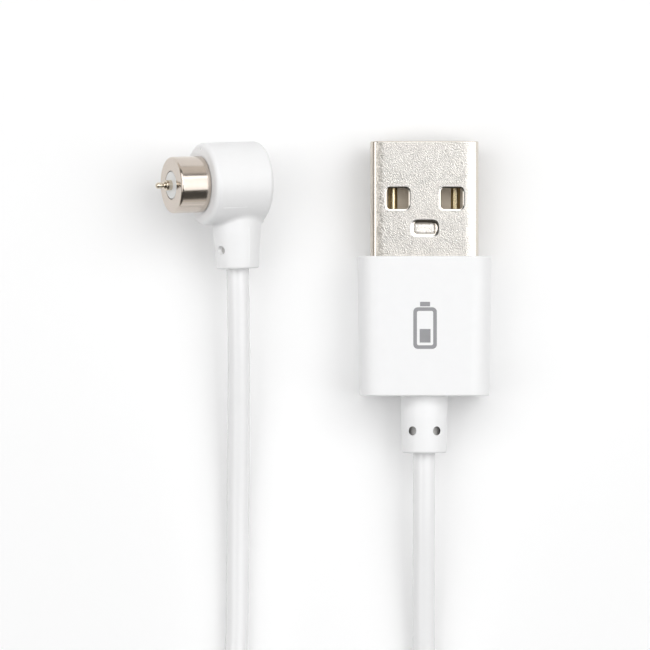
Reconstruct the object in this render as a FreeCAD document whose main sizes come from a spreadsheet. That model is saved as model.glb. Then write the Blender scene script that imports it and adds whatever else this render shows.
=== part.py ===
import FreeCAD
import Part
import Sketcher
import math
import os

# Magnetic USB charging cable: a USB-A plug and a magnetic head with a spring pin, joined by one round
# cord. Millimetres and degrees. The cable lies on z = 0, and the plug points along +Y.
# Plug pieces: local z runs along the plug to its tip, local y is up, z = 0 is the housing's front face.
# Head pieces: local z runs along the drum to the pin's tip, the neck points along local -y, and the
# two axes meet at the local origin.

Vector = FreeCAD.Vector

SIZES = {
    # Metal shell of the plug
    "shell_width": 12.0,
    "shell_thickness": 4.5,
    "shell_sheet": 0.3,
    "shell_bend": 0.7,
    "shell_reach": 12.74,
    "shell_tail": 6.0,
    "shell_lead_in": 0.14,
    "seam_gap": 0.1,
    "window_width": 2.5,
    "window_length": 2.35,
    "window_corner": 0.4,
    "window_spacing": 6.0,
    "window_setback": 5.2,
    "dimple_width": 3.1,
    "dimple_length": 1.8,
    "dimple_slope": 0.32,
    "dimple_depth": 0.35,
    "dimple_corner": 0.7,
    "dimple_setback": 9.67,
    # Contact carrier and its four contacts
    "carrier_gap": 0.03,
    "tongue_thickness": 1.85,
    "tongue_setback": 0.45,
    "tongue_bevel": 0.3,
    "plug_cavity_depth": 8.0,
    "contact_width": 1.0,
    "contact_thickness": 0.25,
    "contact_gap": 0.03,
    "outer_contact_spacing": 7.0,
    "inner_contact_spacing": 2.0,
    "outer_contact_setback": 1.5,
    "inner_contact_setback": 2.5,
    "contact_tail": 2.5,
    # Plug housing, inner mould and strain relief
    "housing_front_overhang": 1.45,
    "housing_back_overhang": 1.2,
    "housing_cover": 1.75,
    "housing_corner": 2.3,
    "housing_length": 15.52,
    "housing_edge": 0.3,
    "housing_wall": 0.8,
    "housing_back_wall": 1.2,
    "mould_gap": 0.03,
    "mould_setback": 0.2,
    "mould_back_wall": 0.6,
    "chamber_gap": 0.1,
    "chamber_height": 2.6,
    "relief_root": 5.3,
    "relief_end": 5.0,
    "relief_length": 6.39,
    "relief_edge": 0.25,
    "relief_flange": 6.2,
    "relief_flange_length": 1.2,
    "relief_hole": 0.8,
    "relief_hole_spacing": 2.68,
    "relief_hole_setback": 2.5,
    # Cord and conductors
    "cord_diameter": 2.5,
    "cord_gap": 0.03,
    "cord_straight": 12.4,
    "wire_diameter": 0.9,
    "wire_spacing": 1.2,
    "wire_straight": 1.3,
    "solder_lap": 1.5,
    # Drum and neck of the magnetic head
    "drum_diameter": 9.15,
    "drum_front": 4.2,
    "drum_back": 2.82,
    "drum_front_edge": 0.55,
    "drum_back_edge": 0.6,
    "neck_root": 5.6,
    "neck_end": 4.75,
    "neck_reach": 9.5,
    "neck_edge": 0.25,
    "neck_hole": 0.9,
    "neck_hole_spacing": 1.75,
    "neck_hole_setback": 2.1,
    # Inside the head
    "cup_diameter": 7.2,
    "cup_wall": 0.75,
    "cup_floor": 0.6,
    "cup_floor_gap": 0.1,
    "seat_gap": 0.03,
    "magnet_diameter": 6.24,
    "magnet_bore": 3.15,
    "magnet_exposed": 3.6,
    "magnet_seat": 0.95,
    "magnet_edge": 0.28,
    "magnet_step": 0.3,
    "magnet_undercut": 0.08,
    "terminal_thickness": 0.3,
    "terminal_gap": 0.1,
    "tag_width": 1.2,
    "tag_length": 2.6,
    "insulator_gap": 0.05,
    "insulator_flange_length": 0.8,
    # Spring pin
    "sleeve_rise": 0.66,
    "sleeve_wall": 0.12,
    "sleeve_lip": 0.2,
    "sleeve_floor": 1.6,
    "sleeve_tail_diameter": 0.7,
    "sleeve_tail_length": 0.9,
    "sleeve_back": 1.45,
    "pin_gap": 0.025,
    "plunger_diameter": 0.76,
    "plunger_reach": 1.82,
    "plunger_bead": 0.26,
    "plunger_waist": 0.5,
    "plunger_waist_length": 0.1,
    "plunger_waist_slope": 0.07,
    "plunger_tip": 0.7,
    "plunger_tip_flat": 0.06,
    "plunger_collar_step": 0.05,
    "plunger_collar_length": 0.64,
    "spring_wire": 0.12,
    "spring_pitch": 0.9,
    # Coil of the cord's put-away length and its tie
    "coil_inner_turn": 10.1,
    "coil_outer_turn": 18.85,
    "coil_bevel": 0.9,
    "tie_thickness": 0.6,
    "tie_width": 6.0,
    "tie_slack": 0.6,
    "tie_gap": 0.05,
    "tie_corner": 1.0,
    "tie_tail": 8.0,
    # Where the plug, the head and the coil lie
    "plug_x": 11.15,
    "plug_front_y": 4.59,
    "head_x": -9.86,
    "head_y": 12.72,
    "head_rise": 25.0,
    "head_pitch": 3.0,
    "head_yaw": 1.5,
    "coil_x": 0.75,
    "coil_y": -76.0,
}

# The cord's way from its straight start at a connector to the coil, laid by hand: for each point the
# share of the way sideways, the share of the way along, and the cord's lift above the floor
HEAD_ROUTE = (
    (0.010, 0.172, 1.35),
    (0.028, 0.346, 0.11),
    (0.033, 0.523, 0.02),
    (0.208, 0.648, 0.02),
    (0.806, 0.763, 0.05),
    (1.000, 0.882, 0.30),
)
PLUG_ROUTE = (
    (-0.004, 0.232, 1.15),
    (0.002, 0.412, 0.10),
    (0.205, 0.575, 0.35),
    (0.802, 0.720, 1.35),
    (1.000, 0.864, 2.45),
)
# Share of the shorter run that a cord's arc takes, and of the drum's radius where the neck's taper ends
ARC_SHARE = 0.45
NECK_ROOT_SHARE = 0.75
# Flat sides round the spring's wire
SPRING_SIDES = 8
VOLUME_TOLERANCE = 0.01

doc = FreeCAD.newDocument("charging_cable")
sheet = doc.addObject("Spreadsheet::Sheet", "Size")
for row, (alias, number) in enumerate(SIZES.items(), start=1):
    sheet.set(f"A{row}", alias)
    sheet.set(f"B{row}", str(number))
    sheet.setAlias(f"B{row}", alias)
doc.recompute()


class Length:
    """A size of the sheet, or a sum of sizes, with the formula that binds it."""

    def __init__(self, value, formula):
        self.value = value
        self.formula = formula

    def __add__(self, other):
        other = as_length(other)
        return Length(self.value + other.value, f"({self.formula} + {other.formula})")

    def __sub__(self, other):
        other = as_length(other)
        return Length(self.value - other.value, f"({self.formula} - {other.formula})")

    def __mul__(self, factor):
        return Length(self.value * factor, f"{self.formula} * {factor}")

    def __truediv__(self, divisor):
        return Length(self.value / divisor, f"{self.formula} / {divisor}")

    def __neg__(self):
        return Length(-self.value, f"(0 - {self.formula})")


def as_length(number):
    """Gives a plain number the form of a length."""
    if isinstance(number, Length):
        return number
    return Length(float(number), str(number))


def size(alias):
    """Reads a size of the sheet as a length that stays bound to its cell."""
    return Length(float(sheet.get(alias)), f"Size.{alias}")


# Sketch helpers

def new_sketch(body, name, role, offset=0.0):
    """Attaches a sketch to one of the body's origin planes, moved along the plane's normal."""
    offset = as_length(offset)
    support = [item for item in body.Origin.OriginFeatures if item.Role == role]
    sketch = body.newObject("Sketcher::SketchObject", name)
    sketch.AttachmentSupport = [(support[0], "")]
    sketch.MapMode = "FlatFace"
    sketch.AttachmentOffset = FreeCAD.Placement(Vector(0, 0, offset.value), FreeCAD.Rotation())
    sketch.setExpression("AttachmentOffset.Base.z", offset.formula)
    return sketch


def bind(sketch, constraint, length):
    """Adds a dimension and binds it to a formula of the sheet."""
    index = sketch.addConstraint(constraint)
    sketch.setExpression(f"Constraints[{index}]", length.formula)


def bind_x(sketch, geometry, end, x):
    """Dimensions a point's distance from the sketch origin along x."""
    bind(sketch, Sketcher.Constraint("DistanceX", -1, 1, geometry, end, x.value), x)


def bind_y(sketch, geometry, end, y):
    """Dimensions a point's distance from the sketch origin along y."""
    bind(sketch, Sketcher.Constraint("DistanceY", -1, 1, geometry, end, y.value), y)


def polygon(sketch, corners):
    """Draws a closed outline of straight sides through the corners."""
    corners = [(as_length(x), as_length(y)) for x, y in corners]
    points = [Vector(x.value, y.value, 0) for x, y in corners]
    first = sketch.GeometryCount
    count = len(points)
    for side in range(count):
        sketch.addGeometry(Part.LineSegment(points[side], points[(side + 1) % count]), False)
    for side in range(count):
        following = first + (side + 1) % count
        sketch.addConstraint(Sketcher.Constraint("Coincident", first + side, 2, following, 1))
    for side, (x, y) in enumerate(corners):
        bind_x(sketch, first + side, 1, x)
        bind_y(sketch, first + side, 1, y)


def circle(sketch, x, y, diameter):
    """Draws a circle about a point."""
    x = as_length(x)
    y = as_length(y)
    centre = Vector(x.value, y.value, 0)
    index = sketch.addGeometry(Part.Circle(centre, Vector(0, 0, 1), diameter.value / 2), False)
    bind(sketch, Sketcher.Constraint("Diameter", index, diameter.value), diameter)
    bind_x(sketch, index, 3, x)
    bind_y(sketch, index, 3, y)


def rounded_rectangle(sketch, left, right, bottom, top, radius):
    """Draws a rectangle with four equal round corners."""
    left, right, bottom, top = [as_length(edge) for edge in (left, right, bottom, top)]
    x0, x1, y0, y1 = left.value, right.value, bottom.value, top.value
    r = radius.value
    first = sketch.GeometryCount
    sides = (
        ((x0 + r, y0), (x1 - r, y0)),
        ((x1, y0 + r), (x1, y1 - r)),
        ((x1 - r, y1), (x0 + r, y1)),
        ((x0, y1 - r), (x0, y0 + r)),
    )
    centres = ((x1 - r, y0 + r), (x1 - r, y1 - r), (x0 + r, y1 - r), (x0 + r, y0 + r))
    for start, end in sides:
        sketch.addGeometry(Part.LineSegment(Vector(*start, 0), Vector(*end, 0)), False)
    for corner, centre in enumerate(centres):
        round_edge = Part.Circle(Vector(*centre, 0), Vector(0, 0, 1), r)
        begin = math.radians(90 * corner - 90)
        sketch.addGeometry(Part.ArcOfCircle(round_edge, begin, begin + math.pi / 2), False)
    for corner in range(4):
        arc = first + 4 + corner
        following = first + (corner + 1) % 4
        sketch.addConstraint(Sketcher.Constraint("Tangent", first + corner, 2, arc, 1))
        sketch.addConstraint(Sketcher.Constraint("Tangent", arc, 2, following, 1))
    for corner in range(1, 4):
        sketch.addConstraint(Sketcher.Constraint("Equal", first + 4, first + 4 + corner))
    sketch.addConstraint(Sketcher.Constraint("Horizontal", first))
    sketch.addConstraint(Sketcher.Constraint("Vertical", first + 1))
    bind(sketch, Sketcher.Constraint("Radius", first + 4, r), radius)
    bind_y(sketch, first, 1, bottom)
    bind_x(sketch, first + 1, 1, right)
    bind_y(sketch, first + 2, 1, top)
    bind_x(sketch, first + 3, 1, left)


# Feature helpers

def pad(body, name, sketch, length, symmetric=False):
    """Extrudes a sketch along its normal, or to both sides."""
    feature = body.newObject("PartDesign::Pad", name)
    feature.Profile = sketch
    feature.SideType = "Symmetric" if symmetric else "One side"
    feature.setExpression("Length", as_length(length).formula)
    doc.recompute()
    return feature


def cut_volume(body, feature, before):
    """Stops the build if a cut took nothing away."""
    doc.recompute()
    if not feature.Shape.Volume < before - 1e-9:
        raise RuntimeError(f"{body.Label}: {feature.Label} cuts nothing")
    return feature


def pocket(body, name, sketch, length, forward=False, symmetric=False):
    """Cuts a sketch into the body, against its normal or along it."""
    before = body.Tip.Shape.Volume
    feature = body.newObject("PartDesign::Pocket", name)
    feature.Profile = sketch
    feature.SideType = "Symmetric" if symmetric else "One side"
    feature.Reversed = forward
    feature.setExpression("Length", as_length(length).formula)
    return cut_volume(body, feature, before)


def revolve(body, name, sketch):
    """Turns a sketch a full turn about its vertical axis."""
    feature = body.newObject("PartDesign::Revolution", name)
    feature.Profile = sketch
    feature.ReferenceAxis = (sketch, ["V_Axis"])
    feature.Angle = 360
    doc.recompute()
    return feature


def groove(body, name, sketch):
    """Cuts a full turn of a sketch about its vertical axis."""
    before = body.Tip.Shape.Volume
    feature = body.newObject("PartDesign::Groove", name)
    feature.Profile = sketch
    feature.ReferenceAxis = (sketch, ["V_Axis"])
    feature.Angle = 360
    return cut_volume(body, feature, before)


def loft(body, name, kind, first, second):
    """Lofts between two sketches, adding or taking away."""
    feature = body.newObject(kind, name)
    feature.Profile = first
    feature.Sections = [second]
    feature.Ruled = True
    doc.recompute()
    return feature


def dress(body, name, kind, value, chosen):
    """Rounds or bevels the edges of the body's last feature that the test picks."""
    base = body.Tip
    edges = [f"Edge{number}" for number, edge in enumerate(base.Shape.Edges, start=1) if chosen(edge)]
    feature = body.newObject(f"PartDesign::{kind}", name)
    feature.Base = (base, edges)
    feature.setExpression("Radius" if kind == "Fillet" else "Size", value.formula)
    doc.recompute()
    return feature


def lies_at(axis, place):
    """Makes a test for edges that lie in the plane where a coordinate has the given value."""
    def chosen(edge):
        box = edge.BoundBox
        low = getattr(box, f"{axis}Min")
        high = getattr(box, f"{axis}Max")
        return abs(low - place.value) < 1e-4 and abs(high - place.value) < 1e-4
    return chosen


def ring_at(radius, height):
    """Makes a test for circular edges about the local z axis."""
    def chosen(edge):
        if not isinstance(edge.Curve, Part.Circle):
            return False
        centre = edge.Curve.Center
        at_height = abs(centre.z - height.value) < 1e-4
        return at_height and abs(edge.Curve.Radius - radius.value) < 1e-4
    return chosen


def round_body(name, profile):
    """Makes a turned piece from half of its section, given as radius and height pairs."""
    body = doc.addObject("PartDesign::Body", name)
    section = new_sketch(body, f"{name}_section", "XZ_Plane")
    polygon(section, profile)
    revolve(body, f"{name}_turned", section)
    return body


def rounded_tube(points, diameter):
    """Sweeps a round section along straight runs joined by arcs, and prints the arcs' radii."""
    points = [Vector(*point) for point in points]
    edges = []
    radii = []
    start = points[0]
    for before, corner, after in zip(points, points[1:], points[2:]):
        incoming = (before - corner).normalize()
        outgoing = (after - corner).normalize()
        half_turn = (math.pi - incoming.getAngle(outgoing)) / 2
        trim = ARC_SHARE * min((before - corner).Length, (after - corner).Length)
        radius = trim / math.tan(half_turn)
        bisector = (incoming + outgoing).normalize()
        middle = corner + bisector * (radius / math.cos(half_turn) - radius)
        arc_start = corner + incoming * trim
        arc_end = corner + outgoing * trim
        edges.append(Part.LineSegment(start, arc_start).toShape())
        edges.append(Part.Arc(arc_start, middle, arc_end).toShape())
        radii.append(round(radius, 1))
        start = arc_end
    edges.append(Part.LineSegment(start, points[-1]).toShape())
    path = Part.Wire(edges)
    section = Part.Wire(Part.makeCircle(diameter / 2, points[0], points[1] - points[0]))
    tube = path.makePipeShell([section], True, False)
    share = tube.Volume / (math.pi * diameter ** 2 / 4 * path.Length)
    print("tube radii", radii, "length", round(path.Length, 1), "volume share", round(share, 4))
    if abs(share - 1) > VOLUME_TOLERANCE:
        raise RuntimeError("a tube's volume differs from its section times its length")
    return tube


# Places of the plug, the head and the coil

def at_plug():
    """Gives the plug's frame: local z turns to +Y and local y to +Z."""
    place = Vector(size("plug_x").value, size("plug_front_y").value, housing_half_height().value)
    return FreeCAD.Placement(place, FreeCAD.Rotation(Vector(0, 1, 1), 180))


def housing_half_height():
    """Gives half the thickness of the plug's housing."""
    return size("shell_thickness") / 2 + size("housing_cover")


def at_head():
    """Gives the head's frame: its drum leans on the rounded back rim, which touches the floor."""
    lean = FreeCAD.Rotation(Vector(0, 1, 0), size("head_rise").value - 90)
    pitch = FreeCAD.Rotation(Vector(1, 0, 0), size("head_pitch").value)
    yaw = FreeCAD.Rotation(Vector(0, 0, 1), size("head_yaw").value)
    turn = yaw * pitch * lean
    axis = turn.multVec(Vector(0, 0, 1))
    rim = size("drum_back_edge").value
    along = (size("drum_back").value - rim) * axis.z
    across = (size("drum_diameter").value / 2 - rim) * math.sqrt(1 - axis.z ** 2)
    return FreeCAD.Placement(Vector(size("head_x").value, size("head_y").value, along + across + rim), turn)


def at_coil():
    """Gives the coil's frame: its middle on the floor."""
    return FreeCAD.Placement(Vector(size("coil_x").value, size("coil_y").value, 0), FreeCAD.Rotation())


pieces = []


def finish(piece, label, placement=None):
    """Names a piece, puts it in its place and adds it to the list of pieces to write."""
    piece.Label = label
    if placement is not None:
        piece.Placement = placement
    pieces.append(piece)


# Plug: folded shell with windows, locking dimple and seam

def make_shell():
    """Makes the folded sheet shell."""
    half_width = size("shell_width") / 2
    half_thickness = size("shell_thickness") / 2
    sheet_metal = size("shell_sheet")
    reach = size("shell_reach")
    tail = size("shell_tail")
    inner_width = half_width - sheet_metal
    inner_thickness = half_thickness - sheet_metal
    body = doc.addObject("PartDesign::Body", "usb_shell")
    section = new_sketch(body, "shell_section", "XY_Plane", -tail)
    bend = size("shell_bend")
    rounded_rectangle(section, -half_width, half_width, -half_thickness, half_thickness, bend)
    rounded_rectangle(section, -inner_width, inner_width, -inner_thickness, inner_thickness,
                      bend - sheet_metal)
    pad(body, "shell_tube", section, tail + reach)
    mouth = outer_mouth(reach, inner_width, inner_thickness)
    dress(body, "shell_mouth", "Fillet", size("shell_lead_in"), mouth)

    window_top = reach - size("window_setback")
    window_bottom = window_top - size("window_length")
    windows = new_sketch(body, "window_outline", "XZ_Plane")
    for side in (-1, 1):
        middle = size("window_spacing") * (side / 2)
        half = size("window_width") / 2
        rounded_rectangle(windows, middle - half, middle + half, window_bottom, window_top,
                          size("window_corner"))
    pocket(body, "windows", windows, size("shell_thickness") * 2, symmetric=True)

    middle = reach - size("dimple_setback")
    half = size("dimple_width") / 2
    tall = size("dimple_length") / 2
    corner = size("dimple_corner")
    slope = size("dimple_slope")
    bump = new_sketch(body, "dimple_bump_outline", "XZ_Plane", -(half_thickness - sheet_metal / 2))
    rounded_rectangle(bump, -half, half, middle - tall, middle + tall, corner)
    pad(body, "dimple_bump", bump, sheet_metal / 2 + size("dimple_depth"))
    rim = new_sketch(body, "dimple_rim", "XZ_Plane", -half_thickness)
    rounded_rectangle(rim, -half, half, middle - tall, middle + tall, corner)
    floor = new_sketch(body, "dimple_floor", "XZ_Plane", -(half_thickness - size("dimple_depth")))
    rounded_rectangle(floor, slope - half, half - slope, middle - tall + slope, middle + tall - slope,
                      corner - slope)
    loft(body, "dimple", "PartDesign::SubtractiveLoft", rim, floor)

    seam = new_sketch(body, "seam_outline", "XY_Plane", -tail)
    half_gap = size("seam_gap") / 2
    below = -half_thickness * 2
    polygon(seam, ((-half_gap, below), (half_gap, below), (half_gap, 0), (-half_gap, 0)))
    pocket(body, "seam", seam, tail + reach, forward=True)
    finish(body, "usb_shell", at_plug())


def outer_mouth(reach, inner_width, inner_thickness):
    """Makes a test for the outer edges of the shell's mouth."""
    in_mouth = lies_at("Z", reach)

    def chosen(edge):
        middle = edge.valueAt((edge.FirstParameter + edge.LastParameter) / 2)
        outside = abs(middle.x) > inner_width.value + 1e-3 or abs(middle.y) > inner_thickness.value + 1e-3
        return in_mouth(edge) and outside
    return chosen


def contact_places():
    """Lists each contact's node, its middle across the plug and its setback from the shell's mouth."""
    outer = size("outer_contact_spacing") / 2
    inner = size("inner_contact_spacing") / 2
    return (
        ("power_contact", outer, size("outer_contact_setback")),
        ("data_minus_contact", inner, size("inner_contact_setback")),
        ("data_plus_contact", -inner, size("inner_contact_setback")),
        ("ground_contact", -outer, size("outer_contact_setback")),
    )


def tongue_top():
    """Gives the height of the tongue's contact side above the plug's axis."""
    floor = -(size("shell_thickness") / 2 - size("shell_sheet") - size("carrier_gap"))
    return floor + size("tongue_thickness")


def make_carrier():
    """Makes the contact carrier: a tongue on the shell's floor and a block behind it."""
    half_width = size("shell_width") / 2 - size("shell_sheet") - size("carrier_gap")
    half_height = size("shell_thickness") / 2 - size("shell_sheet") - size("carrier_gap")
    corner = size("shell_bend") - size("shell_sheet")
    reach = size("shell_reach")
    tail = size("shell_tail")
    top = tongue_top()
    body = doc.addObject("PartDesign::Body", "contact_carrier")
    block = new_sketch(body, "carrier_block_section", "XY_Plane", -tail)
    rounded_rectangle(block, -half_width, half_width, -half_height, half_height, corner)
    pad(body, "carrier_block", block, tail + reach - size("tongue_setback"))
    cavity = new_sketch(body, "cavity_section", "XY_Plane", reach)
    polygon(cavity, ((-half_width * 2, top), (half_width * 2, top), (half_width * 2, half_height * 2),
                     (-half_width * 2, half_height * 2)))
    pocket(body, "cavity", cavity, size("plug_cavity_depth"))
    tip = reach - size("tongue_setback")

    def front_top(edge):
        return lies_at("Z", tip)(edge) and lies_at("Y", top)(edge)
    dress(body, "tongue_nose", "Chamfer", size("tongue_bevel"), front_top)

    gap = size("carrier_gap")
    middle = reach - size("dimple_setback")
    half = size("dimple_width") / 2 + gap
    tall = size("dimple_length") / 2 + gap
    seat = new_sketch(body, "dimple_seat_outline", "XZ_Plane", -half_height)
    rounded_rectangle(seat, -half, half, middle - tall, middle + tall, size("dimple_corner") + gap)
    pocket(body, "dimple_seat", seat, size("dimple_depth") + gap, forward=True)

    for node, across, setback in contact_places():
        half = size("contact_width") / 2 + size("contact_gap")
        depth = size("contact_thickness") + size("contact_gap")
        slot = new_sketch(body, f"{node}_slot_section", "XY_Plane", -tail)
        polygon(slot, ((across - half, top - depth), (across + half, top - depth),
                       (across + half, top), (across - half, top)))
        pocket(body, f"{node}_slot", slot, tail + reach - setback + size("contact_gap"), forward=True)
    finish(body, "contact_carrier", at_plug())


def make_contacts():
    """Makes the four gold contact strips with their solder tails."""
    top = tongue_top()
    back = size("shell_tail") + size("contact_tail")
    half = size("contact_width") / 2
    for node, across, setback in contact_places():
        body = doc.addObject("PartDesign::Body", node)
        section = new_sketch(body, f"{node}_section", "XY_Plane", -back)
        polygon(section, ((across - half, top - size("contact_thickness")),
                          (across + half, top - size("contact_thickness")),
                          (across + half, top), (across - half, top)))
        pad(body, f"{node}_strip", section, back + size("shell_reach") - setback)
        finish(body, node, at_plug())


# Plug: housing, inner mould, strain relief and conductors

def mould_back():
    """Gives the place of the inner mould's back face along the plug."""
    return -(size("housing_length") - size("housing_back_wall") - size("relief_flange_length"))


def cavity_half_width():
    """Gives half the width of the housing's inside."""
    return size("shell_width") / 2 + size("housing_back_overhang") - size("housing_wall")


def cavity_half_height():
    """Gives half the height of the housing's inside."""
    return housing_half_height() - size("housing_wall")


def cavity_corner():
    """Gives the corner radius of the housing's inside."""
    return size("housing_corner") - size("housing_wall")


def make_housing():
    """Makes the white cover, narrower at its back, open in front and bored for the relief behind."""
    length = size("housing_length")
    half_front = size("shell_width") / 2 + size("housing_front_overhang")
    half_back = size("shell_width") / 2 + size("housing_back_overhang")
    body = doc.addObject("PartDesign::Body", "plug_housing")
    outline = new_sketch(body, "housing_outline", "XZ_Plane")
    polygon(outline, ((-half_front, 0), (half_front, 0), (half_back, -length), (-half_back, -length)))
    pad(body, "housing_cover", outline, housing_half_height() * 2, symmetric=True)
    front = lies_at("Z", as_length(0))
    back = lies_at("Z", -length)

    def long_edge(edge):
        return abs(edge.BoundBox.ZLength - length.value) < 1e-4

    def end_edge(edge):
        return front(edge) or back(edge)
    dress(body, "housing_corners", "Fillet", size("housing_corner"), long_edge)
    dress(body, "housing_edges", "Fillet", size("housing_edge"), end_edge)
    inside = new_sketch(body, "housing_inside", "XY_Plane")
    rounded_rectangle(inside, -cavity_half_width(), cavity_half_width(), -cavity_half_height(),
                      cavity_half_height(), cavity_corner())
    pocket(body, "mould_space", inside, -mould_back())
    flange = new_sketch(body, "flange_space_outline", "XY_Plane")
    circle(flange, 0, 0, size("relief_flange") + size("mould_gap") * 2)
    pocket(body, "flange_space", flange, length - size("housing_back_wall"))
    neck = new_sketch(body, "neck_hole_outline", "XY_Plane")
    circle(neck, 0, 0, size("relief_root") + size("mould_gap") * 2)
    pocket(body, "neck_hole", neck, length)
    finish(body, "plug_housing", at_plug())


def make_inner_mould():
    """Makes the rigid block that holds the shell's tail and the wire ends."""
    gap = size("mould_gap")
    half_width = cavity_half_width() - gap
    half_height = cavity_half_height() - gap
    front = size("mould_setback")
    body = doc.addObject("PartDesign::Body", "plug_inner_mould")
    block = new_sketch(body, "mould_section", "XY_Plane", mould_back())
    rounded_rectangle(block, -half_width, half_width, -half_height, half_height, cavity_corner() - gap)
    pad(body, "mould_block", block, -mould_back() - front)
    shell_width = size("shell_width") / 2 + gap
    shell_height = size("shell_thickness") / 2 + gap
    seat = new_sketch(body, "shell_seat_section", "XY_Plane")
    bend = size("shell_bend") + gap
    rounded_rectangle(seat, -shell_width, shell_width, -shell_height, shell_height, bend)
    pocket(body, "shell_seat", seat, size("shell_tail"))
    half = size("outer_contact_spacing") / 2 + size("contact_width") / 2 + size("chamber_gap")
    bottom = tongue_top() - size("contact_thickness") - size("wire_diameter") - size("chamber_gap")
    top = bottom + size("chamber_height")
    chamber = new_sketch(body, "chamber_section", "XY_Plane")
    polygon(chamber, ((-half, bottom), (half, bottom), (half, top), (-half, top)))
    pocket(body, "wire_chamber", chamber, -mould_back() - size("mould_back_wall"))
    wires = new_sketch(body, "wire_holes_outline", "XY_Plane", mould_back())
    for side in (-1, 1):
        circle(wires, size("wire_spacing") * (side / 2), 0, size("wire_diameter") + gap * 2)
    pocket(body, "wire_holes", wires, size("mould_back_wall") * 2, forward=True)
    finish(body, "plug_inner_mould", at_plug())


def make_relief():
    """Makes the tapered neck, with a flange held in the housing and core-pin holes beside the cord."""
    back = -size("housing_length")
    end = back - size("relief_length")
    bore = size("cord_diameter") / 2 + size("cord_gap")
    wall = back + size("housing_back_wall")
    flange = size("relief_flange") / 2
    root = size("relief_root") / 2
    body = round_body("plug_strain_relief", (
        (bore, end), (size("relief_end") / 2, end), (root, back), (root, wall), (flange, wall),
        (flange, mould_back()), (bore, mould_back())))
    dress(body, "relief_rim", "Fillet", size("relief_edge"), ring_at(size("relief_end") / 2, end))
    holes = new_sketch(body, "relief_holes_outline", "XZ_Plane")
    for side in (-1, 1):
        circle(holes, size("relief_hole_spacing") * (side / 2), end + size("relief_hole_setback"),
               size("relief_hole"))
    pocket(body, "relief_holes", holes, size("relief_root") * 2, symmetric=True)
    finish(body, "plug_strain_relief", at_plug())


def make_plug_wires():
    """Makes the two conductors from the cord's end to the power and ground tails."""
    start = mould_back().value
    beside = size("wire_spacing").value / 2
    half_wire = size("wire_diameter").value / 2
    tail = -size("shell_tail").value - size("contact_tail").value
    level = tongue_top().value - size("contact_thickness").value - half_wire
    outer = size("outer_contact_spacing").value / 2
    for node, side in (("plug_red_wire", 1), ("plug_black_wire", -1)):
        wire = doc.addObject("Part::Feature", node)
        wire.Shape = rounded_tube((
            (side * beside, 0, start),
            (side * beside, 0, start + size("wire_straight").value),
            (side * outer, level, tail - half_wire),
            (side * outer, level, tail + size("solder_lap").value)), size("wire_diameter").value)
        finish(wire, node, at_plug())


# Head: drum and neck, inner cup, magnet, terminal, insulator and conductors

def face_height():
    """Gives the height of the magnet's front face along the drum."""
    return size("drum_front") + size("magnet_exposed")


def magnet_back():
    """Gives the height of the magnet's back face along the drum."""
    return size("drum_front") - size("magnet_seat")


def make_head_housing():
    """Makes the moulded head: a drum with rounded rims and a tapered neck across it."""
    radius = size("drum_diameter") / 2
    front = size("drum_front")
    back = -size("drum_back")
    body = round_body("head_housing", ((0, back), (radius, back), (radius, front), (0, front)))
    dress(body, "drum_front_rim", "Fillet", size("drum_front_edge"), ring_at(radius, front))
    dress(body, "drum_back_rim", "Fillet", size("drum_back_edge"), ring_at(radius, back))
    reach = size("neck_reach")
    end = size("neck_end") / 2
    root = size("neck_root") / 2
    neck = new_sketch(body, "neck_section", "XY_Plane")
    buried = radius * NECK_ROOT_SHARE
    inner = radius / 2
    polygon(neck, ((0, -reach), (end, -reach), (root, -buried), (root, -inner), (0, -inner)))
    revolve(body, "neck", neck)

    def neck_rim(edge):
        return lies_at("Y", -reach)(edge)
    dress(body, "neck_rim", "Fillet", size("neck_edge"), neck_rim)

    cup = size("cup_diameter") / 2 + size("seat_gap")
    cup_back = cup_floor_height() - size("cup_floor") - size("seat_gap")
    seat = size("magnet_diameter") / 2 - size("magnet_step") + size("seat_gap")
    inside = new_sketch(body, "head_inside", "XZ_Plane")
    polygon(inside, ((0, cup_back), (cup, cup_back), (cup, magnet_back()), (seat, magnet_back()),
                     (seat, front * 2), (0, front * 2)))
    groove(body, "cup_space", inside)
    bore = new_sketch(body, "cord_bore_outline", "XZ_Plane")
    circle(bore, 0, 0, size("cord_diameter") + size("cord_gap") * 2)
    pocket(body, "cord_bore", bore, reach * 2, forward=True)
    holes = new_sketch(body, "neck_holes_outline", "XY_Plane")
    for side in (-1, 1):
        circle(holes, size("neck_hole_spacing") * (side / 2), size("neck_hole_setback") - reach,
               size("neck_hole"))
    pocket(body, "neck_holes", holes, size("neck_root") * 2, symmetric=True)
    finish(body, "head_housing", at_head())


def cord_end():
    """Gives the distance of the cord's end in the head from the drum's axis."""
    return size("cup_diameter") / 2 - size("cup_wall")


def cup_floor_height():
    """Gives the height of the cup's floor along the drum, just below the cord's bore."""
    return -(size("cord_diameter") / 2 + size("cord_gap") + size("cup_floor_gap"))


def make_head_cup():
    """Makes the rigid cup behind the magnet, bored for the cord."""
    radius = size("cup_diameter") / 2
    inside = cord_end()
    floor = cup_floor_height()
    back = floor - size("cup_floor")
    body = round_body("head_inner_mould", (
        (0, back), (radius, back), (radius, magnet_back()), (inside, magnet_back()), (inside, floor),
        (0, floor)))
    bore = new_sketch(body, "cup_bore_outline", "XZ_Plane")
    circle(bore, 0, 0, size("cord_diameter") + size("cord_gap") * 2)
    pocket(body, "cup_bore", bore, radius * 2, forward=True)
    finish(body, "head_inner_mould", at_head())


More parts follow.
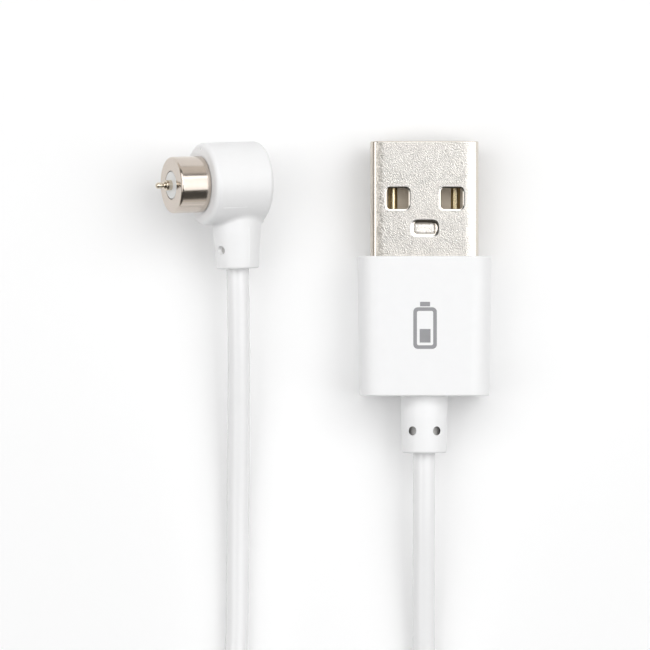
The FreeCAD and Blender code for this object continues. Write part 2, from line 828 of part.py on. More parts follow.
def make_magnet():
    """Makes the plated ring magnet with its rounded front edge, stepped in where it enters the drum."""
    radius = size("magnet_diameter") / 2
    seat = radius - size("magnet_step")
    step = size("drum_front") + size("magnet_undercut")
    bore = size("magnet_bore") / 2
    body = round_body("ring_magnet", (
        (bore, magnet_back()), (seat, magnet_back()), (seat, step), (radius, step), (radius, face_height()),
        (bore, face_height())))
    dress(body, "magnet_rim", "Fillet", size("magnet_edge"), ring_at(radius, face_height()))
    finish(body, "ring_magnet", at_head())


def terminal_radius():
    """Gives the outer radius of the terminal washer."""
    return cord_end() - size("terminal_gap")


def tag_inside():
    """Gives the distance of the solder tag's inner face from the drum's axis."""
    return terminal_radius() - size("terminal_thickness") * 2


def make_terminal():
    """Makes the washer behind the magnet with its bent solder tag."""
    thick = size("terminal_thickness")
    back = magnet_back() - thick
    radius = terminal_radius()
    half = size("tag_width") / 2
    body = doc.addObject("PartDesign::Body", "ground_terminal")
    washer = new_sketch(body, "washer_outline", "XY_Plane", back)
    circle(washer, 0, 0, radius * 2)
    circle(washer, 0, 0, size("magnet_bore") + size("terminal_gap"))
    pad(body, "washer", washer, thick)
    tag = new_sketch(body, "tag_section", "XY_Plane", back - size("tag_length"))
    inside = tag_inside()
    outside = inside + thick
    polygon(tag, ((inside, -half), (outside, -half), (outside, half), (inside, half)))
    pad(body, "tag", tag, size("tag_length") + thick / 2)
    finish(body, "ground_terminal", at_head())


def make_insulator():
    """Makes the white bush in the magnet's bore, flanged behind the terminal."""
    bore = sleeve_radius()
    shank = size("magnet_bore") / 2 - size("insulator_gap")
    flange = tag_inside() - size("seat_gap")
    flange_front = magnet_back() - size("terminal_thickness")
    flange_back = flange_front - size("insulator_flange_length")
    body = round_body("pin_insulator", (
        (bore, flange_back), (flange, flange_back), (flange, flange_front), (shank, flange_front),
        (shank, face_height()), (bore, face_height())))
    finish(body, "pin_insulator", at_head())


def make_head_wires():
    """Makes the two conductors from the cord's end to the pin's tail and the terminal's tag."""
    start = -cord_end().value
    beside = size("wire_spacing").value / 2
    half_wire = size("wire_diameter").value / 2
    thick = size("terminal_thickness").value
    tag = tag_inside().value - half_wire
    tag_foot = magnet_back().value - thick - size("tag_length").value
    pin_tail = size("sleeve_back").value - size("sleeve_tail_length").value
    level = pin_tail - half_wire
    bend = start + size("wire_straight").value
    end = half_wire * 2
    routes = (
        ("head_red_wire",
         ((-beside, start, 0), (-beside, bend, 0), (0, -half_wire, level), (0, end, level))),
        ("head_black_wire",
         ((beside, start, 0), (beside, bend, 0), (tag, -half_wire, tag_foot),
          (tag, end, tag_foot + half_wire))),
    )
    for node, route in routes:
        wire = doc.addObject("Part::Feature", node)
        wire.Shape = rounded_tube(route, size("wire_diameter").value)
        finish(wire, node, at_head())


# Spring pin

def sleeve_top():
    """Gives the height of the sleeve's rim along the drum."""
    return face_height() + size("sleeve_rise")


def sleeve_bore_floor():
    """Gives the height of the floor of the sleeve's bore."""
    return size("sleeve_back") + size("sleeve_floor")


def collar_bottom():
    """Gives the height of the plunger's foot."""
    return sleeve_top() - size("sleeve_lip") - size("pin_gap") - size("plunger_collar_length")


def collar_radius():
    """Gives the radius of the plunger's collar."""
    return size("plunger_diameter") / 2 + size("plunger_collar_step")


def sleeve_bore():
    """Gives the radius of the sleeve's bore."""
    return collar_radius() + size("pin_gap")


def sleeve_radius():
    """Gives the outer radius of the sleeve."""
    return sleeve_bore() + size("sleeve_wall")


def make_sleeve():
    """Makes the gold sleeve with a turned-in lip at its mouth and a solder tail."""
    outside = sleeve_radius()
    mouth = size("plunger_diameter") / 2 + size("pin_gap")
    tail = size("sleeve_tail_diameter") / 2
    back = size("sleeve_back")
    tail_end = back - size("sleeve_tail_length")
    lip = sleeve_top() - size("sleeve_lip")
    floor = sleeve_bore_floor()
    body = round_body("pin_sleeve", (
        (0, tail_end), (tail, tail_end), (tail, back), (outside, back), (outside, sleeve_top()),
        (mouth, sleeve_top()), (mouth, lip), (sleeve_bore(), lip), (sleeve_bore(), floor), (0, floor)))
    finish(body, "pin_sleeve", at_head())


def make_plunger():
    """Makes the plunger: a collar that stays in the sleeve, a bead, a waist and a rounded nose."""
    stem = size("plunger_diameter") / 2
    collar = collar_radius()
    shoulder = collar_bottom() + size("plunger_collar_length")
    tip = face_height() + size("plunger_reach")
    waist = size("plunger_waist") / 2
    slope = size("plunger_waist_slope")
    bead_end = sleeve_top() + size("plunger_bead")
    waist_end = bead_end + slope + size("plunger_waist_length")
    blunt = size("plunger_tip") / 2
    body = round_body("pin_plunger", (
        (0, collar_bottom()), (collar, collar_bottom()), (collar, shoulder), (stem, shoulder), (stem, bead_end),
        (waist, bead_end + slope), (waist, waist_end), (blunt, waist_end + slope), (blunt, tip), (0, tip)))
    tip_round = blunt - size("plunger_tip_flat") / 2
    dress(body, "plunger_nose_round", "Fillet", tip_round, ring_at(blunt, tip))
    finish(body, "pin_plunger", at_head())


def make_spring():
    """Makes the coil spring between the sleeve's floor and the plunger's foot."""
    wire = size("spring_wire").value
    bottom = sleeve_bore_floor().value + wire / 2
    top = collar_bottom().value - wire / 2
    radius = sleeve_bore().value - size("pin_gap").value - wire / 2
    helix = Part.makeHelix(size("spring_pitch").value, top - bottom, radius)
    corners = []
    for corner in range(SPRING_SIDES + 1):
        angle = 2 * math.pi * corner / SPRING_SIDES
        corners.append(Vector(radius + wire / 2 * math.cos(angle), 0, wire / 2 * math.sin(angle)))
    section = Part.makePolygon(corners)
    spring = doc.addObject("Part::Feature", "pin_spring")
    spring.Shape = Part.Wire(helix.Edges).makePipeShell([section], True, True)
    in_sleeve = FreeCAD.Placement(Vector(0, 0, bottom), FreeCAD.Rotation())
    finish(spring, "pin_spring", at_head().multiply(in_sleeve))


# Cord, coil and tie

def lay_cord(start, straight_end, route, coil_end):
    """Gives the points of one stretch of cord, from its end in a connector to the coil."""
    rest_height = size("cord_diameter").value / 2
    way = coil_end - straight_end
    points = [start, straight_end]
    for sideways, along, lift in route:
        x = straight_end.x + way.x * sideways
        y = straight_end.y + way.y * along
        points.append(Vector(x, y, rest_height + lift))
    points.append(coil_end)
    return points


def make_cord():
    """Makes the two uncoiled stretches of the cord, from each connector to the coil."""
    diameter = size("cord_diameter").value
    straight = size("cord_straight").value
    coil_y = size("coil_y").value
    coil_left = size("coil_x").value - size("coil_outer_turn").value
    coil_right = size("coil_x").value + size("coil_outer_turn").value
    low_turn = size("tie_thickness").value + diameter / 2
    inside = cord_end().value
    from_head = lay_cord(
        at_head().multVec(Vector(0, -inside, 0)),
        at_head().multVec(Vector(0, -inside - straight, 0)),
        HEAD_ROUTE,
        Vector(coil_left, coil_y, low_turn))
    back = mould_back().value
    from_plug = lay_cord(
        at_plug().multVec(Vector(0, 0, back)),
        at_plug().multVec(Vector(0, 0, back - straight)),
        PLUG_ROUTE,
        Vector(coil_right, coil_y, low_turn + diameter))
    for node, points in (("cord_head_run", from_head), ("cord_plug_run", from_plug)):
        run = doc.addObject("Part::Feature", node)
        run.Shape = rounded_tube(points, diameter)
        finish(run, node)


def coil_bore():
    """Gives the inner radius of the coil."""
    return size("coil_inner_turn") - size("cord_diameter") / 2


def coil_radius():
    """Gives the outer radius of the coil."""
    return size("coil_outer_turn") + size("cord_diameter") / 2


def make_coil():
    """Makes the outer shape of the coil: two layers of turns lying on the tie."""
    bottom = size("tie_thickness")
    body = doc.addObject("PartDesign::Body", "cord_coil")
    top = bottom + size("cord_diameter") * 2
    inside = coil_bore()
    outside = coil_radius()
    bevel = size("coil_bevel")
    section = new_sketch(body, "coil_section", "XZ_Plane")
    polygon(section, (
        (inside + bevel, bottom), (outside - bevel, bottom), (outside, bottom + bevel),
        (outside, top - bevel), (outside - bevel, top), (inside + bevel, top), (inside, top - bevel),
        (inside, bottom + bevel)))
    revolve(body, "coil_ring", section)
    finish(body, "cord_coil", at_coil())


def make_tie():
    """Makes the strap round the far side of the coil, its end lapped over its top."""
    thick = size("tie_thickness")
    near = -(coil_bore() - size("tie_slack"))
    far = -(coil_radius() + size("tie_gap"))
    top = thick + size("cord_diameter") * 2 + size("tie_gap")
    corner = size("tie_corner")
    body = doc.addObject("PartDesign::Body", "coil_tie")
    band = new_sketch(body, "tie_section", "YZ_Plane")
    rounded_rectangle(band, far - thick, near + thick, 0, top + thick, corner + thick)
    rounded_rectangle(band, far, near, thick, top, corner)
    pad(body, "tie_band", band, size("tie_width"), symmetric=True)
    lap_start = far + corner
    lap = new_sketch(body, "tie_lap_section", "YZ_Plane")
    polygon(lap, ((lap_start, top + thick / 2), (lap_start + size("tie_tail"), top + thick / 2),
                  (lap_start + size("tie_tail"), top + thick * 2), (lap_start, top + thick * 2)))
    pad(body, "tie_lap", lap, size("tie_width"), symmetric=True)
    finish(body, "coil_tie", at_coil())


def write_pieces():
    """Checks every object and every piece, then writes one file for each piece."""
    doc.recompute()
    failed = [item.Label for item in doc.Objects if {"Invalid", "Error"} & set(item.State)]
    if failed:
        raise RuntimeError(f"failed objects: {failed}")
    for piece in pieces:
        if piece.Shape.isNull() or not piece.Shape.isValid() or len(piece.Shape.Solids) != 1:
            raise RuntimeError(f"{piece.Label} is not one valid solid")
    os.makedirs("parts", exist_ok=True)
    for piece in pieces:
        piece.Shape.exportStep(f"parts/{piece.Label}.step")


make_shell()
make_carrier()
make_contacts()
make_housing()
make_inner_mould()
make_relief()
make_plug_wires()
make_head_housing()
make_head_cup()
make_magnet()
make_terminal()
make_insulator()
make_head_wires()
make_sleeve()
make_spring()
make_plunger()
make_cord()
make_coil()
make_tie()
write_pieces()
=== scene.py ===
"""Looks of a magnetic charging cable: a USB-A plug, a thin white cord and a magnetic head with a spring pin.

Pieces are modelled in millimetres in the frame of the plug or of the head and placed in metres at the end.
"""

from __future__ import annotations

import logging
import math
from collections.abc import Callable, Iterable, Sequence
from dataclasses import dataclass, field
from enum import Enum

import bmesh
import bpy
from bpy.types import ID, Material, Mesh, Node, NodeSocket, NodeTree, Object
from mathutils import Matrix, Vector

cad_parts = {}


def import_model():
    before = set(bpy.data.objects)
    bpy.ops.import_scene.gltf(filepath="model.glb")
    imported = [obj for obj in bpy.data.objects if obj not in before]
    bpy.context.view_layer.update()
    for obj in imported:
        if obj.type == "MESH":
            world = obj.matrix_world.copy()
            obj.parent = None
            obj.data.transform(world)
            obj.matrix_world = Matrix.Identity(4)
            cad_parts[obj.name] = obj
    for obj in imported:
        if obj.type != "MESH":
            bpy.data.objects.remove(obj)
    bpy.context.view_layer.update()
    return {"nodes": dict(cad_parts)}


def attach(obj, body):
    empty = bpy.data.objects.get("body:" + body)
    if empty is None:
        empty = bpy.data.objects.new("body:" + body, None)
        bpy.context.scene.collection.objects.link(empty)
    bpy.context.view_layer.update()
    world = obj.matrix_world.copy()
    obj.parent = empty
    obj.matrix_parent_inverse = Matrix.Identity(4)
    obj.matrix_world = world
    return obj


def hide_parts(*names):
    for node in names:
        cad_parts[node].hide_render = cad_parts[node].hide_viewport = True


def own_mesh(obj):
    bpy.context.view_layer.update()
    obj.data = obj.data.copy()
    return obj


LOG = logging.getLogger("charging_cable")
MM = 0.001
# Places closer than this, in millimetres, count as the same when edges are picked.
NEAR = 1e-3
# Points closer than this, in millimetres, are merged.
MERGED = 1e-5
# Edges that turn more than this many degrees stay crisp.
CRISP = 40.0
# Room between the grey tube of painted shade and the neck around it, and half the length of a tool for a
# hole.
CLEARANCE = 0.01
PIN_REACH = 4.0
# Share of a pattern's tone where the dark colour ends and where the full colour begins.
TONE_RANGE = (0.3, 0.7)
WHITE = (1.0, 1.0, 1.0, 1.0)

Pair = tuple[float, float]
Point = tuple[float, float, float]
Colour = tuple[float, float, float]
EdgeTest = Callable[[Vector, Vector], bool]
PointTest = Callable[[Vector], bool]
Inputs = dict[str | int, object]


class Body(Enum):
    """The two rigid bodies of the cable."""

    CABLE = "cable"
    PIN = "pin"


class Cut(Enum):
    """Ways to combine two solids."""

    TAKE_AWAY = "DIFFERENCE"
    ADD = "UNION"
    KEEP_COMMON = "INTERSECT"


class Pattern(Enum):
    """Fine surface patterns a finish can have."""

    GRAIN = "grain"
    BLASTED = "blasted"
    WEAVE = "weave"


def place(origin: Point, x: Point, y: Point, z: Point) -> Matrix:
    """Gives the matrix from a piece's own millimetres to the shared frame's metres.

    Args:
        origin: The frame's origin in millimetres.
        x: Direction of the local x axis.
        y: Direction of the local y axis.
        z: Direction of the local z axis.

    Returns:
        The matrix that places a mesh.
    """
    turn = Matrix((x, y, z)).transposed().to_4x4()
    return Matrix.Scale(MM, 4) @ Matrix.Translation(origin) @ turn


AT_PLUG = place((11.15, 4.59, 4.0), (-1.0, 0.0, 0.0), (0.0, 0.0, 1.0), (0.0, 1.0, 0.0))
AT_HEAD = place(
    (-9.86, 12.72, 5.14057),
    (0.4237151, -0.0363534, 0.9050657),
    (-0.0261411, 0.9982873, 0.0523360),
    (-0.9054182, -0.0458349, 0.4220391),
)
# Lays what stands on the local z axis along the -y axis.
QUARTER_TURN = Matrix.Rotation(math.pi / 2, 4, "X")


def linked(name: str, data: ID) -> Object:
    """Puts an object into the scene.

    Args:
        name: Name of the object.
        data: Its mesh, curve, lamp or camera.

    Returns:
        The object.
    """
    thing = bpy.data.objects.new(name, data)
    bpy.context.scene.collection.objects.link(thing)
    return thing


# Finishes


def feed(tree: NodeTree, node: Node, inputs: Inputs) -> Node:
    """Sets or links the inputs of a node.

    Args:
        tree: The tree that holds the node.
        node: The node.
        inputs: Value of each input, or the output that leads to it.

    Returns:
        The same node.
    """
    for name, value in inputs.items():
        if isinstance(value, NodeSocket):
            tree.links.new(value, node.inputs[name])
        else:
            node.inputs[name].default_value = value
    return node


def add_node(tree: NodeTree, kind: str, inputs: Inputs | None = None, **settings: object) -> Node:
    """Adds a shader node to a tree.

    Args:
        tree: The tree.
        kind: Kind of the node.
        inputs: Value of each input, or the output that leads to it.
        **settings: Settings of the node.

    Returns:
        The node.
    """
    node = tree.nodes.new("ShaderNode" + kind)
    for name, value in settings.items():
        setattr(node, name, value)
    return feed(tree, node, inputs or {})


class PatternGroup:
    """Makes the shared node groups that give a fine pattern as height and tone."""

    OUTPUTS = ("Height", "Tone")
    CLOUD_SCALE = 0.09
    CLOUD_DETAIL = 3.0
    GRAIN_DETAIL = 2.0
    BLASTED_DETAIL = 0.0
    BLASTED_TURN = (0.0, 0.0, math.radians(-42.0))
    BLASTED_STRETCH = (1.5, 0.8, 1.0)
    NOISE_ROUGHNESS = 0.6
    THREAD_WOBBLE = 0.6
    HEIGHT_IN_TONE = {Pattern.GRAIN: 0.4, Pattern.BLASTED: 0.65, Pattern.WEAVE: 0.4}

    @classmethod
    def get(cls, pattern: Pattern) -> NodeTree:
        """Gives the node group of a pattern and makes it on first use.

        Args:
            pattern: The pattern wanted.

        Returns:
            The shader node group.
        """
        name = f"pattern_{pattern.value}"
        if name in bpy.data.node_groups:
            return bpy.data.node_groups[name]
        group = bpy.data.node_groups.new(name, "ShaderNodeTree")
        group.interface.new_socket("Scale", in_out="INPUT", socket_type="NodeSocketFloat")
        for output in cls.OUTPUTS:
            group.interface.new_socket(output, in_out="OUTPUT", socket_type="NodeSocketFloat")
        scale = group.nodes.new("NodeGroupInput").outputs["Scale"]
        where = add_node(group, "TexCoord").outputs["Object"]
        height = cls._height(group, pattern, scale, where)
        wide = add_node(group, "Math", {0: scale, 1: cls.CLOUD_SCALE}, operation="MULTIPLY")
        cloud = cls._noise(group, wide.outputs[0], where, cls.CLOUD_DETAIL)
        mix = add_node(group, "Mix", {"Factor": cls.HEIGHT_IN_TONE[pattern], "A": cloud, "B": height})
        end = group.nodes.new("NodeGroupOutput")
        feed(group, end, {"Height": height, "Tone": mix.outputs["Result"]})
        return group

    @classmethod
    def _noise(cls, group: NodeTree, scale: NodeSocket, where: NodeSocket, detail: float) -> NodeSocket:
        """Adds a noise texture and gives its value."""
        inputs = {"Scale": scale, "Vector": where, "Detail": detail, "Roughness": cls.NOISE_ROUGHNESS}
        return add_node(group, "TexNoise", inputs).outputs["Fac"]

    @classmethod
    def _height(cls, group: NodeTree, pattern: Pattern, scale: NodeSocket, where: NodeSocket) -> NodeSocket:
        """Adds the pattern's own texture to its node group.

        Args:
            group: The node group.
            pattern: The pattern wanted.
            scale: Output that gives the pattern's scale.
            where: Output that gives the place on the piece.

        Returns:
            The output that gives the pattern's height.
        """
        if pattern is Pattern.GRAIN:
            return cls._noise(group, scale, where, cls.GRAIN_DETAIL)
        if pattern is Pattern.BLASTED:
            inputs = {"Vector": where, "Rotation": cls.BLASTED_TURN, "Scale": cls.BLASTED_STRETCH}
            slant = add_node(group, "Mapping", inputs, vector_type="TEXTURE")
            return cls._noise(group, scale, slant.outputs["Vector"], cls.BLASTED_DETAIL)
        inputs = {"Scale": scale, "Vector": where, "Distortion": cls.THREAD_WOBBLE}
        threads = [
            add_node(group, "TexWave", inputs, bands_direction=way).outputs["Fac"] for way in ("X", "Y")
        ]
        return add_node(group, "Math", dict(enumerate(threads)), operation="MAXIMUM").outputs[0]


@dataclass(frozen=True)
class Finish:
    """One surface finish: its colour, its gloss and its fine pattern.

    Attributes:
        slot: Name of the finish, as the part's record has it.
        colour: Linear base colour.
        roughness: Roughness of the reflection.
        metallic: Share of metal.
        pattern: Fine pattern of the surface.
        pattern_mm: Width of the pattern's features in millimetres.
        depth_mm: Depth of the pattern in millimetres.
        mottle: Share by which the colour darkens in the pattern's hollows.
        strength: Strength of the pattern's relief.
        variant: Word that tells apart two finishes of the same slot.
        listed: Whether the part's record has a slot of this name.
    """

    slot: str
    colour: Colour
    roughness: float
    metallic: float = 0.0
    pattern: Pattern = Pattern.GRAIN
    pattern_mm: float = 0.12
    depth_mm: float = 0.004
    mottle: float = 0.03
    strength: float = 0.35
    variant: str = ""
    listed: bool = True

    def material(self) -> Material:
        """Gives the finish's material and makes it on first use.

        Returns:
            The material.
        """
        name = f"finish_{self.slot}{self.variant}"
        if name in bpy.data.materials:
            return bpy.data.materials[name]
        material = bpy.data.materials.new(name)
        material.use_nodes = True
        tree = material.node_tree
        scale = {"Scale": 1.0 / (self.pattern_mm * MM)}
        pattern = add_node(tree, "Group", scale, node_tree=PatternGroup.get(self.pattern))
        shade = add_node(tree, "ValToRGB", {"Fac": pattern.outputs["Tone"]})
        low, high = shade.color_ramp.elements
        low.position, high.position = TONE_RANGE
        low.color = (*(part * (1.0 - self.mottle) for part in self.colour), 1.0)
        high.color = (*self.colour, 1.0)
        bump = add_node(tree, "Bump", {
            "Strength": self.strength, "Distance": self.depth_mm * MM, "Height": pattern.outputs["Height"],
        })
        feed(tree, tree.nodes["Principled BSDF"], {
            "Base Color": shade.outputs["Color"], "Roughness": self.roughness,
            "Metallic": self.metallic, "Normal": bump.outputs["Normal"],
        })
        return material

    def dress(self, piece: Object) -> Object:
        """Puts the finish on a piece.

        Args:
            piece: The piece to dress.

        Returns:
            The same piece.
        """
        piece.data.materials.clear()
        piece.data.materials.append(self.material())
        return piece


class Finishes:
    """All finishes of the cable."""

    NICKEL: Colour = (0.74, 0.69, 0.62)
    HOUSING = Finish("white_housing", (0.92, 0.92, 0.922), 0.42, pattern_mm=0.1, depth_mm=0.003, mottle=0.02)
    CORD = Finish("white_cord", (0.9, 0.9, 0.902), 0.2, pattern_mm=0.4, depth_mm=0.004, mottle=0.02)
    SHELL = Finish(
        "plated_shell", NICKEL, 0.28, 1.0, Pattern.BLASTED,
        pattern_mm=0.112, depth_mm=0.024, mottle=0.4, strength=1.0,
    )
    BEND = Finish(
        "plated_shell", NICKEL, 0.12, 1.0, pattern_mm=0.1, depth_mm=0.002, mottle=0.06, variant="_bend",
    )
    CARRIER = Finish("carrier_plastic", (0.64, 0.56, 0.45), 0.5, pattern_mm=0.2, mottle=0.12)
    GOLD = Finish("gold_plate", (0.7, 0.58, 0.36), 0.26, 1.0, pattern_mm=0.1, mottle=0.08)
    PIN = Finish("gold_plate", (0.72, 0.65, 0.54), 0.14, 1.0, pattern_mm=0.1, mottle=0.08, variant="_pin")
    MAGNET = Finish(
        "plated_magnet", (0.66, 0.59, 0.525), 0.17, 1.0, pattern_mm=0.12, depth_mm=0.005, mottle=0.08,
    )
    INSULATOR = Finish("insulator_plastic", (0.84, 0.84, 0.83), 0.4, pattern_mm=0.1, mottle=0.04)
    INNER = Finish("inner_plastic", (0.76, 0.76, 0.74), 0.5, pattern_mm=0.2, mottle=0.05)
    RED_WIRE = Finish("red_wire", (0.6, 0.05, 0.04), 0.35, pattern_mm=0.2)
    BLACK_WIRE = Finish("black_wire", (0.03, 0.03, 0.03), 0.35, pattern_mm=0.2)
    BRASS = Finish("terminal_brass", (0.78, 0.6, 0.3), 0.3, 1.0, pattern_mm=0.15, mottle=0.1)
    SPRING = Finish("spring_steel", (0.7, 0.7, 0.7), 0.3, 1.0, pattern_mm=0.05, mottle=0.1)
    STRAP = Finish(
        "tie_strap", (0.78, 0.78, 0.77), 0.8, 0.0, Pattern.WEAVE,
        pattern_mm=1.1, depth_mm=0.12, mottle=0.18, strength=0.7,
    )
    INK = Finish("mark_ink", (0.32, 0.32, 0.33), 0.5, pattern_mm=0.1, mottle=0.08, listed=False)
    # Grey tube inside the necks: painted shade that darkens the holes and the bore round the cord.
    SHADE_LINING = Finish("painted_shade_lining", (0.56, 0.55, 0.535), 0.6, pattern_mm=0.2, mottle=0.2, listed=False)


# Modelling


def worked(draft: Object, kind: str, **settings: object) -> Mesh:
    """Gives an object's mesh as one modifier leaves it and clears the object away.

    Args:
        draft: The object, which is used up.
        kind: Kind of the modifier.
        **settings: Settings of the modifier.

    Returns:
        The finished mesh.
    """
    step = draft.modifiers.new("step", kind)
    for name, value in settings.items():
        setattr(step, name, value)
    graph = bpy.context.evaluated_depsgraph_get()
    result = bpy.data.meshes.new_from_object(draft.evaluated_get(graph))
    bpy.data.meshes.remove(draft.data)
    return result


def along(axis: int) -> EdgeTest:
    """Gives the test for edges that run along one axis."""
    return lambda a, b: (a - b).length > NEAR and abs(abs(a[axis] - b[axis]) - (a - b).length) < NEAR


def outside(p: Vector, half: Sequence[float], corner: float) -> bool:
    """Says whether a point lies outside a rounded rectangle round the local z axis.

    Args:
        p: The point.
        half: Half the rectangle's width and height.
        corner: Rounding of its corners.

    Returns:
        Whether the point is outside.
    """
    x, y = abs(p.x) - half[0] + corner, abs(p.y) - half[1] + corner
    if x > 0 and y > 0:
        return math.hypot(x, y) > corner
    return max(x, y) > corner


class Solid:
    """A closed form being modelled, in millimetres."""

    WIRE_SIDES = 12

    def __init__(self) -> None:
        """Starts an empty form."""
        self.form = bmesh.new()

    @classmethod
    def box(cls, size: Point, centre: Point) -> Solid:
        """Makes a plain box.

        Args:
            size: Lengths of its sides.
            centre: Its middle.

        Returns:
            The box.
        """
        solid = cls()
        matrix = Matrix.Translation(centre) @ Matrix.Diagonal((*size, 1.0))
        bmesh.ops.create_cube(solid.form, size=1.0, matrix=matrix)
        return solid

    @classmethod
    def turned(cls, profile: Sequence[Pair], closed: bool = False, steps: int = 96) -> Solid:
        """Spins a profile round the local z axis.

        Args:
            profile: Radius and height of each corner of the profile, in order.
            closed: Whether the last corner joins the first one.
            steps: Sides of the round.

        Returns:
            The turned form.
        """
        solid = cls()
        corners = [solid.form.verts.new((radius, 0.0, height)) for radius, height in profile]
        pairs = list(zip(corners, corners[1:]))
        if closed:
            pairs.append((corners[-1], corners[0]))
        lines = [solid.form.edges.new(pair) for pair in pairs]
        bmesh.ops.spin(
            solid.form, geom=corners + lines, cent=(0, 0, 0), axis=(0, 0, 1), dvec=(0, 0, 0),
            angle=2.0 * math.pi, steps=steps, use_merge=True, use_duplicate=False,
        )
        return solid.tidy()

    @classmethod
    def coiled(cls, radius: float, wire: float, ends: Pair, turns: float, steps: int = 24) -> Solid:
        """Winds a round wire round the local z axis.

        Args:
            radius: Radius of the wire's middle line.
            wire: Thickness of the wire.
            ends: Heights where the coil begins and ends.
            turns: Number of turns.
            steps: Sides of one turn.

        Returns:
            The coil.
        """
        solid = cls()
        bottom, top = ends
        start = Matrix.Translation((radius, 0.0, bottom)) @ QUARTER_TURN
        bmesh.ops.create_circle(solid.form, radius=wire / 2, segments=cls.WIRE_SIDES, matrix=start)
        count = round(turns * steps)
        bmesh.ops.spin(
            solid.form, geom=[*solid.form.verts, *solid.form.edges], cent=(0, 0, 0), axis=(0, 0, 1),
            dvec=(0, 0, (top - bottom) / count), angle=2.0 * math.pi * turns, steps=count,
            use_duplicate=False,
        )
        bmesh.ops.holes_fill(solid.form, edges=[edge for edge in solid.form.edges if edge.is_boundary])
        return solid.tidy()

    @classmethod
    def ring(cls, inner: float, outer: float, bottom: float, top: float) -> Solid:
        """Makes a plain tube round the local z axis."""
        return cls.turned(((inner, bottom), (outer, bottom), (outer, top), (inner, top)), closed=True)

    @classmethod
    def rod(cls, radius: float, bottom: float, top: float, steps: int = 32) -> Solid:
        """Makes a plain rod on the local z axis."""
        return cls.turned(((0, bottom), (radius, bottom), (radius, top), (0, top)), steps=steps)

    def tidy(self) -> Solid:
        """Merges doubled points and turns all faces outward.

        Returns:
            The same form.
        """
        bmesh.ops.remove_doubles(self.form, verts=self.form.verts, dist=MERGED)
        bmesh.ops.recalc_face_normals(self.form, faces=self.form.faces)
        return self

    def soften(self, test: EdgeTest, width: float, steps: int = 5) -> Solid:
        """Rounds the edges that a test picks.

        Args:
            test: Says for the two ends of an edge whether it is rounded.
            width: Width of the rounding.
            steps: Steps of the rounding.

        Returns:
            The same form.
        """
        picked = [edge for edge in self.form.edges if test(edge.verts[0].co, edge.verts[1].co)]
        bmesh.ops.bevel(
            self.form, geom=picked, offset=width, offset_type="OFFSET", segments=steps, profile=0.5,
            affect="EDGES", clamp_overlap=True, material=-1,
        )
        return self

    def soften_at(self, test: PointTest, width: float, steps: int = 5) -> Solid:
        """Rounds the edges whose two ends pass a test."""
        return self.soften(lambda a, b: test(a) and test(b), width, steps)

    def soften_ring(self, radius: float, height: float, width: float, steps: int = 5) -> Solid:
        """Rounds one ring-shaped edge of a turned form."""
        return self.soften_at(
            lambda p: abs(p.xy.length - radius) < NEAR and abs(p.z - height) < NEAR, width, steps)

    def shift(self, move: Callable[[Vector], Vector]) -> Solid:
        """Moves each point to where a rule puts it.

        Args:
            move: Gives the new place of a point.

        Returns:
            The same form.
        """
        for vert in self.form.verts:
            vert.co = move(vert.co)
        return self

    def score(self, axis: int, at: float) -> Solid:
        """Adds a line of points where a plane square to an axis cuts the form.

        Args:
            axis: Number of the axis.
            at: Place of the plane on the axis.

        Returns:
            The same form.
        """
        normal = [float(index == axis) for index in range(3)]
        bmesh.ops.bisect_plane(
            self.form, geom=[*self.form.verts, *self.form.edges, *self.form.faces],
            plane_co=[at * part for part in normal], plane_no=normal,
        )
        return self

    def transform(self, matrix: Matrix) -> Solid:
        """Moves the whole form by a matrix."""
        bmesh.ops.transform(self.form, matrix=matrix, verts=self.form.verts)
        return self

    def move(self, by: Point) -> Solid:
        """Moves the whole form straight."""
        return self.transform(Matrix.Translation(by))

    def mesh(self, name: str) -> Mesh:
        """Turns the form into a mesh and lets go of its bmesh.

        Args:
            name: Name of the mesh.

        Returns:
            The mesh, still in millimetres.
        """
        mesh = bpy.data.meshes.new(name)
        self.form.to_mesh(mesh)
        self.form.free()
        return mesh

    def combine(self, tool: Solid, how: Cut) -> Solid:
        """Combines this form with another one.

        Args:
            tool: The other form, which is used up.
            how: The way they are combined.

        Returns:
            The same form, changed.
        """
        base = linked("base", self.mesh("base"))
        cutter = linked("cutter", tool.mesh("cutter"))
        result = worked(base, "BOOLEAN", operation=how.value, solver="EXACT", object=cutter)
        self.form = bmesh.new()
        self.form.from_mesh(result)
        for mesh in (result, cutter.data):
            bpy.data.meshes.remove(mesh)
        return self.tidy()

    def cut(self, tool: Solid) -> Solid:
        """Takes another form away from this one."""
        return self.combine(tool, Cut.TAKE_AWAY)

    def include(self, other: Solid) -> Solid:
        """Puts another closed form into the same mesh as it is.

        Args:
            other: The other form, which is used up.

        Returns:
            The same form.
        """
        mesh = other.mesh("included")
        self.form.from_mesh(mesh)
        bpy.data.meshes.remove(mesh)
        return self


@dataclass
class SubAssembly:
    """Pieces that are modelled in one frame.

    Attributes:
        at: Place of the frame.
        pieces: The pieces made so far.
    """

    at: Matrix
    pieces: list[Object] = field(default_factory=list)

    def keep(
        self, solid: Solid, name: str, finish: Finish, *nodes: str,
        body: Body = Body.CABLE, crisp: float = CRISP,
    ) -> Object:
        """Makes a dressed piece from its form, hangs it on its body and hides the part's nodes that it
        stands for.

        Args:
            solid: The finished form.
            name: Name of the piece.
            finish: Its finish.
            *nodes: The part's nodes that it stands for.
            body: The body it rides on.
            crisp: Edges that turn more than this many degrees stay crisp.

        Returns:
            The piece.
        """
        draft = linked(name + "_draft", solid.tidy().mesh(name + "_draft"))
        draft.data.shade_smooth()
        draft.data.set_sharp_from_angle(angle=math.radians(crisp))
        mesh = worked(draft, "WEIGHTED_NORMAL", keep_sharp=True)
        mesh.name = name
        mesh.transform(self.at)
        piece = finish.dress(linked(name, mesh))
        if nodes:
            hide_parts(*nodes)
        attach(piece, body.value)
        self.pieces.append(piece)
        LOG.info("made %s", name)
        return piece


# Studio


